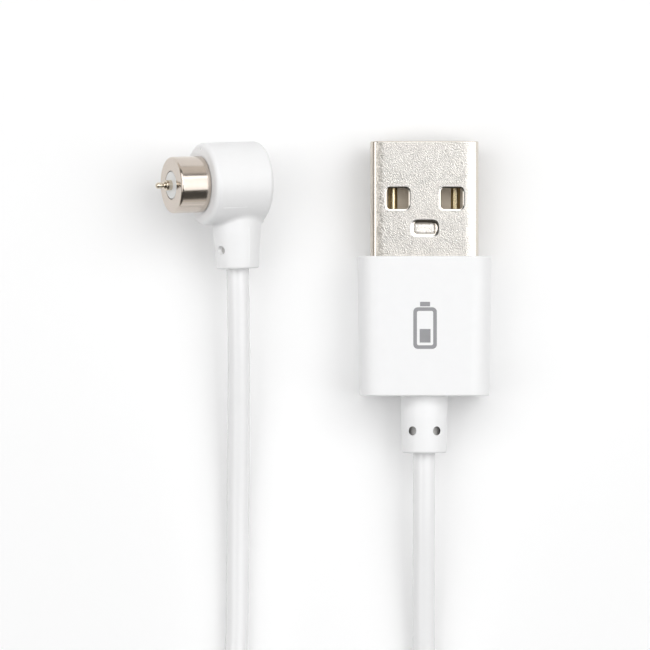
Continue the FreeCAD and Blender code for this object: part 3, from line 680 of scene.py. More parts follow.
@dataclass(frozen=True)
class Softbox:
    """A soft lamp.

    Attributes:
        name: Name of the lamp.
        centre: Its middle in metres.
        size: Its two sides in metres.
        radiance: Its brightness, where 1 is white.
        aimed: Whether it faces the cable and not straight down.
        mirrored: Whether shiny pieces show its reflection.
    """

    name: str
    centre: Point
    size: Pair
    radiance: float
    aimed: bool = False
    mirrored: bool = True

    def hang(self) -> None:
        """Puts the lamp into the studio, out of the camera's sight."""
        data = bpy.data.lights.new(self.name, "AREA")
        data.shape = "RECTANGLE"
        data.size, data.size_y = self.size
        data.energy = self.radiance * data.size * data.size_y * math.pi
        lamp = linked(self.name, data)
        lamp.location = self.centre
        if self.aimed:
            lamp.rotation_euler = Vector(self.centre).to_track_quat("Z", "Y").to_euler()
        lamp.visible_camera = False
        lamp.visible_glossy = self.mirrored


@dataclass(frozen=True)
class Glow:
    """A pale part of the room that only reflections show.

    Attributes:
        axis: Direction that its bands lie round.
        bands: Position along the axis and brightness of each band.
        tint: Colour of its light.
    """

    axis: Point
    bands: tuple[Pair, ...]
    tint: Colour = (1.0, 1.0, 1.0)

    def add(self, tree: NodeTree) -> Node:
        """Adds the glow to the world.

        Args:
            tree: The world's node tree.

        Returns:
            The glow's background.
        """
        direction = add_node(tree, "TexCoord").outputs["Generated"]
        height = add_node(tree, "VectorMath", {0: direction, 1: self.axis}, operation="DOT_PRODUCT")
        ramp = add_node(tree, "ValToRGB", {"Fac": height.outputs["Value"]})
        elements = ramp.color_ramp.elements
        elements.remove(elements[1])
        for index, (position, value) in enumerate(self.bands):
            band = elements[0] if index == 0 else elements.new(position)
            band.position = position
            band.color = (*(value * part for part in self.tint), 1.0)
        return add_node(tree, "Background", {"Color": ramp.outputs["Color"]})


@dataclass
class Studio:
    """Camera, floor and light of the picture.

    Attributes:
        camera_at: Place of the camera, which hangs below the overhead softbox and looks straight down.
        lens_mm: Focal length for the sensor's width.
        nearest: Distance in metres from which the camera sees things.
        room_light: Brightness of the room as it falls on the table.
        glows: What reflections show of the room: its walls, the ceiling's pale patch, and a screen
            left and right.
    """

    camera_at: Point = (0.000095, -0.00307, 0.45)
    lens_mm: float = 221.6
    sensor_mm: float = 36.0
    nearest: float = 0.01
    floor_size: float = 4.0
    floor_colour: Colour = (0.985, 0.985, 0.985)
    lamps: tuple[Softbox, ...] = (
        Softbox("overhead_softbox", (0.0, 0.0, 0.6), (0.3, 0.3), 1.385, mirrored=False),
        Softbox("right_softbox", (0.36, 0.1, 0.6), (0.36, 0.6), 2.59),
        Softbox("right_wing", (0.85, 0.1, 0.6), (0.6, 0.9), 1.575),
        Softbox("left_fill", (-0.2, 0.1, 0.6), (0.04, 0.78), 1.72, mirrored=False),
        Softbox("left_softbox", (-0.495, 0.1, 0.6), (0.55, 0.78), 1.72),
        Softbox("left_wing", (-0.96, 0.1, 0.6), (0.38, 0.78), 1.72, mirrored=False),
        Softbox("back_softbox", (0.0, 0.38, 0.6), (0.5, 0.4), 1.78),
        Softbox("corner_softbox", (0.45, 0.45, 0.6), (0.3, 0.3), 1.53, aimed=True),
    )
    room_light: float = 0.13
    glows: tuple[Glow, ...] = (
        Glow((0.0, -0.198, 1.0), ((0.0, 0.78), (0.3, 0.74), (0.345, 0.08), (1.0, 0.06)), (1.0, 0.96, 0.9)),
        Glow(
            (0.21, 0.165, 0.964), ((0.94, 0.0), (0.965, 0.33), (0.985, 1.75), (1.0, 2.95)),
            (1.0, 1.06, 1.16),
        ),
        Glow((-0.56, 0.0, 0.828), ((0.975, 0.0), (0.985, 0.9), (1.0, 1.3))),
        Glow((0.92, 0.0, 0.39), ((0.95, 0.0), (0.972, 0.9), (1.0, 1.2))),
    )

    def set_up(self) -> None:
        """Makes the camera, the floor, the lamps and the surrounding room."""
        bpy.context.scene.view_settings.view_transform = "Standard"
        self._camera()
        self._floor()
        for lamp in self.lamps:
            lamp.hang()
        self._room()
        LOG.info("studio is set up")

    def _camera(self) -> None:
        """Makes the camera above the cable."""
        data = bpy.data.cameras.new("photo_camera")
        data.lens = self.lens_mm
        data.sensor_width = self.sensor_mm
        data.clip_start = self.nearest
        camera = linked("photo_camera", data)
        camera.location = self.camera_at
        bpy.context.scene.camera = camera

    def _floor(self) -> None:
        """Makes the white floor."""
        sheet = Solid()
        bmesh.ops.create_grid(sheet.form, x_segments=1, y_segments=1, size=self.floor_size / 2)
        mesh = sheet.mesh("floor")
        material = bpy.data.materials.new("floor_white")
        material.use_nodes = True
        tree = material.node_tree
        feed(tree, tree.nodes["Principled BSDF"], {
            "Base Color": (*self.floor_colour, 1.0), "Roughness": 1.0, "Specular IOR Level": 0.0,
        })
        mesh.materials.append(material)
        floor = linked("floor", mesh)

    def _room(self) -> None:
        """Makes the room: plain light on the table, banded walls in reflections, white for the camera."""
        world = bpy.data.worlds.new("room")
        bpy.context.scene.world = world
        world.use_nodes = True
        tree = world.node_tree
        seen = feed(tree, tree.nodes["Background"], {"Color": WHITE, "Strength": self.room_light})
        mirrored = self.glows[0].add(tree)
        for glow in self.glows[1:]:
            both = {0: mirrored.outputs[0], 1: glow.add(tree).outputs[0]}
            mirrored = add_node(tree, "AddShader", both)
        white = add_node(tree, "Background", {"Color": WHITE})
        path = add_node(tree, "LightPath")
        for ray, background in (("Is Glossy Ray", mirrored), ("Is Camera Ray", white)):
            shown = {"Fac": path.outputs[ray], 1: seen.outputs[0], 2: background.outputs[0]}
            seen = add_node(tree, "MixShader", shown)
        feed(tree, tree.nodes["World Output"], {"Surface": seen.outputs[0]})


# Cord


@dataclass
class CableCord:
    """The round cord from the head to the plug, with its spare length wound into a coil.

    Attributes:
        diameter: Thickness of the cord in millimetres.
        length: Length between the two necks in millimetres.
        head_exit: Place where the cord leaves the head's neck.
        head_route: Points from inside the head to the coil.
        plug_route: Points from the coil to inside the plug.
        carried: Names of the part's nodes inside the plug and of the coil's tie, which the cord only looks
            up.
    """

    diameter: float = 2.5
    length: float = 810.0
    head_exit: Point = (-9.6117, 3.2363, 4.6434)
    head_route: tuple[Point, ...] = (
        (-9.786, 9.875, 4.991), (-9.461, -2.504, 4.342), (-9.548, -15.145, 2.60), (-9.703, -27.934, 1.36),
        (-9.746, -40.942, 1.27), (-11.258, -50.129, 1.27), (-16.424, -58.581, 1.30), (-18.10, -67.327, 1.55),
    )
    plug_route: tuple[Point, ...] = (
        (19.60, -68.51, 3.70), (17.927, -60.58, 2.60), (12.882, -52.595, 1.60), (11.167, -43.62, 1.35),
        (11.116, -33.706, 2.40), (11.15, -20.93, 4.0), (11.15, -8.53, 4.0),
    )
    coil_centre: Pair = (0.75, -76.0)
    outer_turn: float = 18.85
    inner_turn: float = 10.1
    low: float = 1.85
    high: float = 4.35
    layer_turns: float = 3.5
    climb_turns: float = 0.5
    points_per_turn: int = 24
    section_steps: int = 6
    curve_steps: int = 8
    curve_order: int = 3
    carried: tuple[str, ...] = (
        "contact_carrier", "plug_inner_mould", "plug_red_wire", "plug_black_wire", "coil_tie",
    )

    def coil_points(self) -> list[Point]:
        """Gives the coil's points: a layer inwards, half a turn up, and a layer outwards.

        Returns:
            The points in millimetres, from the head's side to the plug's side.
        """
        turns = 2.0 * self.layer_turns + self.climb_turns
        count = round(turns * self.points_per_turn)
        widen = 1.0 / math.cos(math.pi / self.points_per_turn)
        points = []
        for index in range(count + 1):
            turn = turns * index / count
            angle = math.pi + 2.0 * math.pi * turn
            inwards = min(turn, self.layer_turns, turns - turn) / self.layer_turns
            radius = self.outer_turn + (self.inner_turn - self.outer_turn) * inwards
            climb = min(max((turn - self.layer_turns) / self.climb_turns, 0.0), 1.0)
            spread = widen if 0 < index < count else 1.0
            points.append((
                self.coil_centre[0] + radius * spread * math.cos(angle),
                self.coil_centre[1] + radius * spread * math.sin(angle),
                self.low + (self.high - self.low) * climb,
            ))
        return points

    def build(self, plug_pieces: Iterable[Object], nodes: dict[str, Object]) -> Object:
        """Makes the cord as one smooth curve with a round section.

        Args:
            plug_pieces: The pieces of the plug on the cord's far end; not used.
            nodes: The part's nodes by name.

        Returns:
            The cord.
        """
        curve = bpy.data.curves.new("cord", "CURVE")
        curve.dimensions = "3D"
        curve.bevel_depth = self.diameter / 2 * MM
        curve.bevel_resolution = self.section_steps
        curve.resolution_u = self.curve_steps
        curve.use_fill_caps = True
        points = [*self.head_route, *self.coil_points(), *self.plug_route]
        spline = curve.splines.new("NURBS")
        spline.points.add(len(points) - 1)
        for knot, point in zip(spline.points, points):
            knot.co = (*(value * MM for value in point), 1.0)
        spline.order_u = self.curve_order
        spline.use_endpoint_u = True
        spline.resolution_u = self.curve_steps
        cord = linked("cord", curve)
        Finishes.CORD.dress(cord)
        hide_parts("cord_head_run", "cord_coil", "cord_plug_run")
        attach(cord, Body.CABLE.value)
        tuple(value * MM for value in self.head_exit)
        [nodes[name] for name in self.carried]
        LOG.info("cord is laid")
        return cord


# Plug


@dataclass
class UsbPlug(SubAssembly):
    """The USB-A plug: folded shell, contacts, housing and strain relief, in the plug's frame.

    Attributes:
        shell_size: Width and thickness of the shell.
        shell_reach: How far it stands out of the housing.
        shell_crisp: Edges of the shell that turn more than this many degrees stay crisp.
        overshoot: How much longer a tool is than the shell it goes through.
        windows_at: The windows' distance from the middle.
        window_lip: Width and depth of the drawn-in lip round a window.
        dimple_lip: Width and depth of the drawn-in lip round the dimple.
        dimple_lean: Slope of the dimple's floor across and along the shell.
        floor_inset: How much smaller the dimple's floor is than its opening, on each side.
        groove_size: Width and depth of the fine groove round the dimple's floor.
        bulge_rim: How much wider the dimple's back is than its opening, on each side.
        bulge_cover: How far the dimple's back goes up into the sheet.
        crown_from: Distance from the middle where the shell's faces begin to bow down to the bends.
        crown_bow: How strongly they bow.
        crown_lines: Distances beyond that where the faces have points to bow at.
        flat_from: How square to an axis a face has to be to keep its grain. Bends and lips are smooth.
        contacts: Place across the plug and front end of each contact.
        outline_band: Width of the strip at the housing's ends that counts as its outline.
        relief_sunk: How far the strain relief goes into the housing.
        relief_hole: Half the width and half the length of a core-pin hole.
        shade_lining: Radius of the grey tube in the strain relief, painted shade that darkens the core-pin
            holes.
        sign_outline: Width, length and corner of the battery sign.
        sign_opening: Width, length and corner of the opening in it.
        sign_bars: Width, length and place of its cap and of its charge.
    """

    shell_size: Pair = (12.0, 4.5)
    shell_reach: float = 12.74
    shell_tail: float = 6.0
    shell_crisp: float = 30.0
    sheet: float = 0.3
    bend: float = 0.6
    seam_width: float = 0.1
    mouth_edge: float = 0.12
    overshoot: float = 2.0
    window_size: Pair = (2.5, 2.35)
    window_middle: float = 6.365
    windows_at: float = 3.0
    window_corner: float = 0.4
    window_lip: Pair = (0.19, 0.06)
    dimple_size: Pair = (2.5, 1.3)
    dimple_middle: float = 3.07
    dimple_depth: float = 0.42
    dimple_corner: float = 0.6
    dimple_lip: Pair = (0.36, 0.15)
    dimple_lean: Pair = (0.045, -0.038)
    floor_inset: float = 0.1
    floor_corner: float = 0.36
    groove_size: Pair = (0.15, 0.24)
    bulge_rim: float = 0.3
    bulge_cover: float = 0.15
    bulge_corner: float = 0.7
    crown_from: float = 4.4
    crown_bow: float = 0.09
    crown_lines: tuple[float, ...] = (0.1, 0.3, 0.5, 0.7)
    flat_from: float = 0.986
    contact_size: Pair = (1.0, 0.25)
    contact_top: float = -0.07
    contact_crown: float = 0.64
    contact_back: float = -8.5
    contacts: dict[str, Pair] = field(default_factory=lambda: {
        "power_contact": (3.5, 11.24), "data_minus_contact": (1.0, 10.24),
        "data_plus_contact": (-1.0, 10.24), "ground_contact": (-3.5, 11.24),
    })
    housing_front: float = 14.9
    housing_back: float = 14.4
    housing_height: float = 8.0
    housing_length: float = 15.52
    housing_corner: float = 2.3
    housing_edge: float = 0.2
    outline_band: float = 0.25
    recess_inset: float = 1.05
    recess_depth: float = 0.15
    relief_root: float = 2.65
    relief_end: float = 2.5
    relief_length: float = 6.39
    relief_sunk: float = 0.4
    relief_edge: float = 0.25
    relief_hole: Pair = (0.42, 0.51)
    relief_hole_spacing: float = 2.68
    relief_hole_back: float = 2.5
    cord_bore: float = 1.27
    shade_lining: float = 1.75
    shade_lining_inset: float = 0.8
    sign_film: float = 0.02
    sign_middle: float = -8.0
    sign_outline: Point = (2.6, 4.6, 0.5)
    sign_opening: Point = (1.8, 3.8, 0.2)
    sign_bars: tuple[Point, ...] = ((1.1, 0.5, -5.35), (1.2, 1.5, -8.85))

    def build(self) -> list[Object]:
        """Makes all pieces of the plug.

        Returns:
            The pieces.
        """
        self._shell()
        self._contacts()
        self._housing()
        self._relief()
        self._mark()
        return self.pieces

    def _shell(self) -> None:
        """Makes the folded sheet shell with its windows, dimple and seam."""
        width, thick = self.shell_size
        length = self.shell_reach + self.shell_tail
        middle = self.shell_reach - length / 2
        through = length + self.overshoot
        shell = Solid.box((width, thick, length), (0, 0, middle)).soften(along(2), self.bend, steps=10)
        for line in self.crown_lines:
            shell.score(0, self.crown_from + line).score(0, -self.crown_from - line)
        shell.shift(self._crowned)
        inside = Solid.box((width - 2 * self.sheet, thick - 2 * self.sheet, through), (0, 0, middle))
        shell.cut(inside.soften(along(2), self.bend - self.sheet, steps=8))
        self._cut_windows(shell)
        self._press_dimple(shell)
        shell.cut(Solid.box((self.seam_width, thick, through), (0, -thick / 2 - self.sheet, middle)))
        shell.soften_at(self._on_mouth, self.mouth_edge, steps=4)
        piece = self.keep(shell, "shell", Finishes.SHELL, "usb_shell", crisp=self.shell_crisp)
        piece.data.materials.append(Finishes.BEND.material())
        for face in piece.data.polygons:
            face.material_index = int(max(abs(part) for part in face.normal) < self.flat_from)

    def _cut_windows(self, shell: Solid) -> None:
        """Cuts the four windows, two above and two below, with their lips.

        Args:
            shell: The shell, which is changed.
        """
        wide, long = self.window_size
        for side in (-1, 1):
            at = (side * self.windows_at, self.window_middle)
            window = Solid.box((wide, self.shell_size[1] * 2, long), (at[0], 0, at[1]))
            shell.cut(window.soften(along(1), self.window_corner, steps=6))
            for face in (-1, 1):
                shell.cut(self._pan(at, self.window_size, self.window_lip, self.window_corner, face))

    @property
    def _floor_size(self) -> Pair:
        """Width and length of the dimple's floor."""
        wide, long = self.dimple_size
        return wide - 2 * self.floor_inset, long - 2 * self.floor_inset

    @property
    def _floor_level(self) -> float:
        """Height of the dimple's floor."""
        return self.shell_size[1] / 2 - self.dimple_depth

    def _press_dimple(self, shell: Solid) -> None:
        """Makes the dimple: its back inside the shell, its lip, its floor and the groove round that.

        Args:
            shell: The shell, which is changed.
        """
        at = (0.0, self.dimple_middle)
        rim, cover = 2 * self.bulge_rim, self.bulge_cover
        middle = self.shell_size[1] / 2 - self.sheet - self.dimple_depth / 2 + cover / 2
        size = (self.dimple_size[0] + rim, self.dimple_depth + cover, self.dimple_size[1] + rim)
        bulge = Solid.box(size, (0, middle, self.dimple_middle))
        shell.combine(bulge.soften(along(1), self.bulge_corner, steps=8), Cut.ADD)
        shell.cut(self._pan(at, self.dimple_size, self.dimple_lip, self.dimple_corner, 1))
        side = (self.floor_inset, self.dimple_depth)
        shell.cut(self._pan(at, self._floor_size, side, self.floor_corner, 1))
        shell.cut(self._groove())
        shell.shift(self._leaned)

    def _leaned(self, p: Vector) -> Vector:
        """Tilts the dimple's floor a little, as pressing leaves it.

        Args:
            p: A point of the shell.

        Returns:
            The point's new place.
        """
        x, z = p.x, p.z - self.dimple_middle
        rim = self.groove_size[0] / 2
        wide, long = self._floor_size
        inside = abs(x) < wide / 2 - rim and abs(z) < long / 2 - rim
        if abs(p.y - self._floor_level) > NEAR or not inside:
            return p
        return Vector((p.x, p.y + self.dimple_lean[0] * x + self.dimple_lean[1] * z, p.z))

    def _crowned(self, p: Vector) -> Vector:
        """Bows a point of the shell's flat faces down towards the bends."""
        drop = self.crown_bow * max(abs(p.x) - self.crown_from, 0.0) ** 2
        return Vector((p.x, math.copysign(abs(p.y) - drop, p.y), p.z))

    def _pan(self, at: Pair, floor: Pair, lip: Pair, corner: float, face: int) -> Solid:
        """Makes the tool for a dent with sloping sides in one of the shell's faces.

        Args:
            at: Place of its middle across and along the shell.
            floor: Width and length of its floor.
            lip: Width and depth of its sloping side.
            corner: Rounding of its corners.
            face: 1 for the shell's top, -1 for its underside.

        Returns:
            The tool.
        """
        level = face * self.shell_size[1] / 2
        pan = Solid.box((1.0, 2.0 * lip[1], 1.0), (0, level, 0))

        def taper(p: Vector) -> Vector:
            """Spreads the outer end, which stands as high above the shell as the floor lies below."""
            spread = 0.0 if abs(p.y) < abs(level) else 4.0 * lip[0]
            return Vector((at[0] + p.x * (floor[0] + spread), p.y, at[1] + p.z * (floor[1] + spread)))

        return pan.shift(taper).soften(lambda a, b: abs(a.y - b.y) > lip[1], corner, steps=8)

    def _groove(self) -> Solid:
        """Makes the tool for the fine groove round the dimple's floor.

        Returns:
            The tool.
        """
        level = self._floor_level
        wide, long = self._floor_size
        width, depth = self.groove_size
        blocks = []
        for inset in (0.0, width):
            size = (wide - 2 * inset, 2 * depth, long - 2 * inset)
            block = Solid.box(size, (0.0, level, self.dimple_middle))
            blocks.append(block.soften(along(1), self.floor_corner - inset, steps=8))
        outer, inner = blocks
        inner.shift(lambda p: Vector((p.x, level + 2 * (p.y - level), p.z)))
        return outer.cut(inner)

    def _on_mouth(self, p: Vector) -> bool:
        """Says whether a point lies on the outer edge of the shell's mouth."""
        half = [size / 2 - self.sheet / 2 for size in self.shell_size]
        return abs(p.z - self.shell_reach) <= NEAR and outside(p, half, self.bend - self.sheet / 2)

    def _contacts(self) -> None:
        """Makes the four contact strips with softly rounded faces."""
        width, thick = self.contact_size
        for name, (offset, front) in self.contacts.items():
            length = front - self.contact_back
            middle = (offset, self.contact_top - thick / 2, front - length / 2)
            strip = Solid.box((width, thick, length), middle)
            crown = Solid.rod(self.contact_crown, -length, length, steps=96)
            crown.move((offset, self.contact_top - self.contact_crown, middle[2]))
            strip.combine(crown, Cut.KEEP_COMMON)
            self.keep(strip, name + "_strip", Finishes.GOLD, name)

    def _housing(self) -> None:
        """Makes the white cover with rounded sides and a shallow recess round the shell."""
        half = self.housing_length / 2
        housing = Solid.box((self.housing_front, self.housing_height, self.housing_length), (0, 0, -half))
        narrow = self.housing_back / self.housing_front
        housing.shift(lambda p: Vector((p.x * (narrow if p.z < -half else 1.0), p.y, p.z)))
        housing.soften(lambda a, b: abs(a.z - b.z) > half, self.housing_corner, steps=14)
        front = max(housing.form.faces, key=lambda face: face.calc_center_median().z)
        bmesh.ops.inset_region(
            housing.form, faces=[front], thickness=self.recess_inset, use_even_offset=True)
        bmesh.ops.translate(housing.form, verts=front.verts, vec=(0, 0, -self.recess_depth))
        band = self.outline_band
        for end, width in ((0.0, self.housing_front), (-self.housing_length, self.housing_back)):
            inner = (width / 2 - band, self.housing_height / 2 - band)
            housing.soften_at(
                lambda p: abs(p.z - end) < NEAR and outside(p, inner, self.housing_corner - band),
                self.housing_edge)
        self.keep(housing, "housing", Finishes.HOUSING, "plug_housing")

    def _relief(self) -> None:
        """Makes the tapered neck with its two core-pin holes, and the grey tube inside it that paints shade
        into the holes.
        """
        root = -self.housing_length + self.relief_sunk
        end = -self.housing_length - self.relief_length
        bore = self.cord_bore
        neck = Solid.turned(
            ((bore, root), (self.relief_root, root), (self.relief_end, end), (bore, end)), closed=True)
        neck.soften_ring(self.relief_end, end, self.relief_edge)
        wide, long = self.relief_hole
        shade_lined = (end + self.shade_lining_inset, end + self.relief_length - self.shade_lining_inset)
        # Makes room for the grey tube that paints shade into the holes.
        neck.cut(Solid.rod(self.shade_lining + CLEARANCE, *shade_lined))
        for side in (-1, 1):
            pin = Solid.rod(1.0, -PIN_REACH, PIN_REACH).transform(QUARTER_TURN)
            pin.transform(Matrix.Diagonal((wide, 1.0, long, 1.0)))
            neck.cut(pin.move((side * self.relief_hole_spacing / 2, 0, end + self.relief_hole_back)))
        self.keep(neck, "relief", Finishes.HOUSING, "plug_strain_relief")
        # Grey tube round the cord: painted shade seen through the core-pin holes.
        self.keep(Solid.ring(bore, self.shade_lining, *shade_lined), "relief_shade_lining", Finishes.SHADE_LINING)

    def _mark(self) -> None:
        """Makes the printed battery sign on the housing's top."""
        level, film = self.housing_height / 2, self.sign_film
        middle = (0, level, self.sign_middle)
        wide, long, corner = self.sign_outline
        sign = Solid.box((wide, film, long), middle).soften(along(1), corner, steps=6)
        wide, long, corner = self.sign_opening
        sign.cut(Solid.box((wide, film * 4, long), middle).soften(along(1), corner, steps=4))
        for wide, long, at in self.sign_bars:
            sign.include(Solid.box((wide, film, long), (0, level, at)))
        self.keep(sign, "battery_sign", Finishes.INK)


# Head


@dataclass
class MagneticHead(SubAssembly):
    """The magnetic head: drum and neck, ring magnet, insulator and spring pin, in the head's frame.

    Attributes:
        neck_root: Radius of the neck at the distance neck_root_at from the drum's axis.
        neck_buried: How far the neck goes into the drum.
        neck_lift: How far the neck stays in front of the drum's back.
        shade_lining: Radius of the grey tube in the neck, painted shade that darkens its holes.
        shade_lined: Distances from the drum's axis where that tube begins and ends.
        line_at: How far the mould's parting line lies beside the neck's middle.
        magnet_trim: Rounding of the magnet's two lesser edges.
        foot: Height where the insulator and the sleeve begin.
        gate_at: Place of the small dent that the mould's gate left.
        gate_reach: Lower and upper end of that dent's tool, from the drum's front.
        ridge_at: Middle of the fine ridge along the drum.
        squash_margin: Share that the spring may be shorter than the pin's stroke makes it.
    """

    drum_radius: float = 4.575
    drum_front: float = 4.2
    drum_back: float = -2.82
    front_edge: float = 0.55
    back_edge: float = 0.6
    seat_radius: float = 2.86
    seat_floor: float = 3.2
    seat_edge: float = 0.06
    neck_root: float = 2.8
    neck_end: float = 2.375
    neck_root_at: float = 3.43
    neck_reach: float = 9.5
    neck_edge: float = 0.25
    neck_flare: float = 0.35
    neck_buried: float = 0.6
    neck_lift: float = 0.02
    flare_steps: int = 6
    hole_radius: float = 0.5
    hole_spacing: float = 1.75
    hole_at: float = 7.4
    cord_bore: float = 1.27
    shade_lining: float = 2.05
    shade_lined: Pair = (5.4, 8.9)
    line_at: float = -0.4
    line_size: float = 0.09
    magnet_radius: float = 3.12
    magnet_bore: float = 1.575
    magnet_back: float = 3.25
    magnet_step: float = 4.28
    magnet_seat: float = 2.82
    face: float = 7.8
    magnet_edge: float = 0.28
    magnet_trim: float = 0.05
    foot: float = 3.0
    insulator_radius: float = 1.51
    insulator_edge: float = 0.07
    sleeve_radius: float = 0.575
    sleeve_mouth: float = 0.405
    sleeve_bore: float = 0.44
    sleeve_top: float = 8.46
    sleeve_lip: float = 0.2
    sleeve_edge: float = 0.09
    stem: float = 0.38
    collar: float = 0.43
    collar_from: float = 7.595
    collar_to: float = 8.235
    bead_end: float = 8.72
    bead_edge: float = 0.05
    waist: float = 0.25
    waist_from: float = 8.79
    waist_to: float = 8.89
    nose_from: float = 8.96
    nose: float = 0.35
    tip: float = 9.62
    tip_edge: float = 0.31
    spring_foot: float = 3.05
    spring_wire: float = 0.12
    spring_radius: float = 0.37
    spring_turns: float = 4.9
    pin_stroke: float = 1.0
    squash_margin: float = 0.001
    gate_at: Point = (0.17, 3.85, 4.2)
    gate_radius: float = 0.13
    gate_reach: Pair = (-0.12, 0.2)
    ridge_at: Point = (3.72, -2.66, 1.73)
    ridge_size: Point = (0.07, 0.07, 2.9)
    ridge_edge: float = 0.01

    def build(self) -> list[Object]:
        """Makes all pieces of the head.

        Returns:
            The pieces.
        """
        self._housing()
        self._magnet()
        self._insulator()
        self._sleeve()
        self._plunger()
        self._spring()
        return self.pieces

    def _housing(self) -> None:
        """Makes the drum with the magnet's seat and the neck across it, and the grey tube in the neck that
        paints shade into its holes.
        """
        radius, seat = self.drum_radius, self.seat_radius
        front, back = self.drum_front, self.drum_back
        profile = (
            (0, back), (radius, back), (radius, front), (seat, front), (seat, self.seat_floor),
            (0, self.seat_floor),
        )
        drum = Solid.turned(profile, steps=128)
        drum.soften_ring(radius, front, self.front_edge, steps=7)
        drum.soften_ring(radius, back, self.back_edge, steps=7)
        drum.soften_ring(seat, front, self.seat_edge, steps=2)
        drum.cut(Solid.rod(self.gate_radius, *self.gate_reach).move(self.gate_at))
        ridge = Solid.box(self.ridge_size, (0, 0, 0)).soften(along(2), self.ridge_edge, steps=2)
        ridge.transform(Matrix.Rotation(math.atan2(self.ridge_at[1], self.ridge_at[0]), 4, "Z"))
        drum.include(ridge.move(self.ridge_at))
        drum.include(self._neck())
        drum.include(self._parting_line())
        self.keep(drum, "head", Finishes.HOUSING, "head_housing")
        # Grey tube round the cord in the neck: painted shade for the holes and the bore.
        shade_lining = Solid.ring(self.cord_bore, self.shade_lining, *self.shade_lined).transform(QUARTER_TURN)
        self.keep(shade_lining, "neck_shade_lining", Finishes.SHADE_LINING)

    def _parting_line(self) -> Solid:
        """Makes the fine line that the halves of the mould left along the neck.

        Returns:
            The line in the head's frame.
        """
        start, end = self.drum_radius + self.neck_flare, self.neck_reach - self.neck_edge
        rise = (self.neck_end - self.neck_root) / (self.neck_reach - self.neck_root_at)
        line = Solid.box((self.line_size, self.line_size, end - start), (0, 0, (start + end) / 2))

        def lay(p: Vector) -> Vector:
            """Sinks the line into the tapered neck."""
            flat = math.sqrt((self.neck_root + rise * (p.z - self.neck_root_at)) ** 2 - self.line_at ** 2)
            return Vector((p.x + flat, p.y + self.line_at, p.z))

        return line.shift(lay).transform(QUARTER_TURN)

    def _neck(self) -> Solid:
        """Makes the tapered neck, flared softly where it meets the drum.

        Returns:
            The neck in the head's frame.
        """
        taper = (self.neck_root - self.neck_end) / (self.neck_reach - self.neck_root_at)
        root = self.neck_root - taper * (self.drum_radius - self.neck_root_at)
        length = self.neck_reach - self.drum_radius
        flare = self.neck_flare
        profile = [(self.cord_bore, -self.neck_buried), (root + flare, -self.neck_buried)]
        for step in range(self.flare_steps + 1):
            turn = math.pi / 2 * step / self.flare_steps
            profile.append((root + flare * (1.0 - math.sin(turn)), flare * (1.0 - math.cos(turn))))
        profile += [(self.neck_end, length), (self.cord_bore, length)]
        neck = Solid.turned(profile, closed=True)
        neck.soften_ring(self.neck_end, length, self.neck_edge)
        neck.transform(QUARTER_TURN)

        def seat(p: Vector) -> Vector:
            """Lets the neck's root follow the drum's round and stay in front of the drum's back.

            Args:
                p: A point of the neck.

            Returns:
                The point's new place.
            """
            across = min(abs(p.x), self.drum_radius)
            drop = self.drum_radius - math.sqrt(self.drum_radius ** 2 - across ** 2)
            share = min(1.0 + p.y / length, 1.0)
            lowest = self.drum_back + self.neck_lift
            return Vector((p.x, p.y - self.drum_radius + drop * share, max(p.z, lowest)))

        neck.shift(seat)
        # Makes room for the grey tube that paints shade into the holes.
        neck.cut(Solid.rod(self.shade_lining + CLEARANCE, *self.shade_lined).transform(QUARTER_TURN))
        for side in (-1, 1):
            pin = Solid.rod(self.hole_radius, -PIN_REACH, PIN_REACH)
            neck.cut(pin.move((side * self.hole_spacing / 2, -self.hole_at, 0)))
        return neck

    def _magnet(self) -> None:
        """Makes the plated ring magnet with its rounded front edge."""
        bore, radius, step = self.magnet_bore, self.magnet_radius, self.magnet_step
        profile = (
            (bore, self.magnet_back), (self.magnet_seat, self.magnet_back), (self.magnet_seat, step),
            (radius, step), (radius, self.face), (bore, self.face),
        )
        magnet = Solid.turned(profile, closed=True, steps=160)
        magnet.soften_ring(radius, self.face, self.magnet_edge, steps=8)
        magnet.soften_ring(radius, step, self.magnet_trim, steps=2)
        magnet.soften_ring(bore, self.face, self.magnet_trim, steps=2)
        self.keep(magnet, "magnet", Finishes.MAGNET, "ring_magnet")

    def _insulator(self) -> None:
        """Makes the white bush in the magnet's bore."""
        bush = Solid.ring(self.sleeve_radius, self.insulator_radius, self.foot, self.face)
        bush.soften_ring(self.insulator_radius, self.face, self.insulator_edge, steps=3)
        self.keep(bush, "insulator", Finishes.INSULATOR, "pin_insulator")

    def _sleeve(self) -> None:
        """Makes the gold sleeve with its turned-in lip."""
        bore, radius, mouth, top = self.sleeve_bore, self.sleeve_radius, self.sleeve_mouth, self.sleeve_top
        profile = (
            (bore, self.foot), (radius, self.foot), (radius, top), (mouth, top),
            (mouth, top - self.sleeve_lip), (bore, top - self.sleeve_lip),
        )
        sleeve = Solid.turned(profile, closed=True, steps=64)
        sleeve.soften_ring(radius, top, self.sleeve_edge, steps=4)
        self.keep(sleeve, "sleeve", Finishes.PIN, "pin_sleeve")

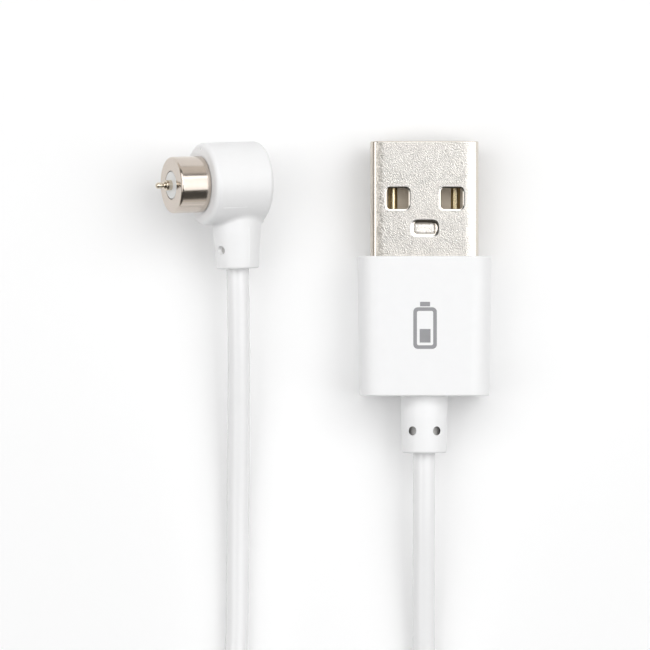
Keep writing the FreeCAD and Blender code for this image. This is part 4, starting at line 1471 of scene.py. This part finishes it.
    def _plunger(self) -> None:
        """Makes the moving tip of the spring pin."""
        profile = (
            (0, self.collar_from), (self.collar, self.collar_from), (self.collar, self.collar_to),
            (self.stem, self.collar_to), (self.stem, self.bead_end), (self.waist, self.waist_from),
            (self.waist, self.waist_to), (self.nose, self.nose_from), (self.nose, self.tip), (0, self.tip),
        )
        plunger = Solid.turned(profile, steps=64)
        plunger.soften_ring(self.nose, self.tip, self.tip_edge, steps=10)
        plunger.soften_ring(self.nose, self.nose_from, self.bead_edge, steps=3)
        plunger.soften_ring(self.stem, self.bead_end, self.bead_edge, steps=3)
        self.keep(plunger, "plunger", Finishes.PIN, "pin_plunger", body=Body.PIN)

    def _spring(self) -> None:
        """Makes the coil spring behind the plunger and gives it a mesh of its own."""
        half = self.spring_wire / 2
        ends = (self.spring_foot + half, self.collar_from - half)
        coil = Solid.coiled(self.spring_radius, self.spring_wire, ends, self.spring_turns)
        spring = self.keep(coil, "spring", Finishes.SPRING, "pin_spring")
        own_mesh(spring)


# Pieces taken over as they are


@dataclass
class InnerPieces:
    """The pieces inside the connectors and the coil's tie, which keep their own forms."""

    finishes: dict[str, Finish] = field(default_factory=lambda: {
        "contact_carrier": Finishes.CARRIER,
        "plug_inner_mould": Finishes.INNER,
        "plug_red_wire": Finishes.RED_WIRE,
        "plug_black_wire": Finishes.BLACK_WIRE,
        "head_inner_mould": Finishes.INNER,
        "head_red_wire": Finishes.RED_WIRE,
        "head_black_wire": Finishes.BLACK_WIRE,
        "ground_terminal": Finishes.BRASS,
        "coil_tie": Finishes.STRAP,
    })

    def dress(self, nodes: dict[str, Object]) -> None:
        """Gives each piece its finish.

        Args:
            nodes: The part's nodes by name.
        """
        for name, finish in self.finishes.items():
            finish.dress(nodes[name])
            LOG.info("dressed %s", name)


def main() -> None:
    """Builds the whole picture in order."""
    logging.basicConfig(level=logging.INFO, format="%(name)s: %(message)s")
    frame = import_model()
    Studio().set_up()
    plug_pieces = UsbPlug(AT_PLUG).build()
    CableCord().build(plug_pieces, frame["nodes"])
    MagneticHead(AT_HEAD).build()
    InnerPieces().dress(frame["nodes"])


if __name__ == "__main__":
    main()
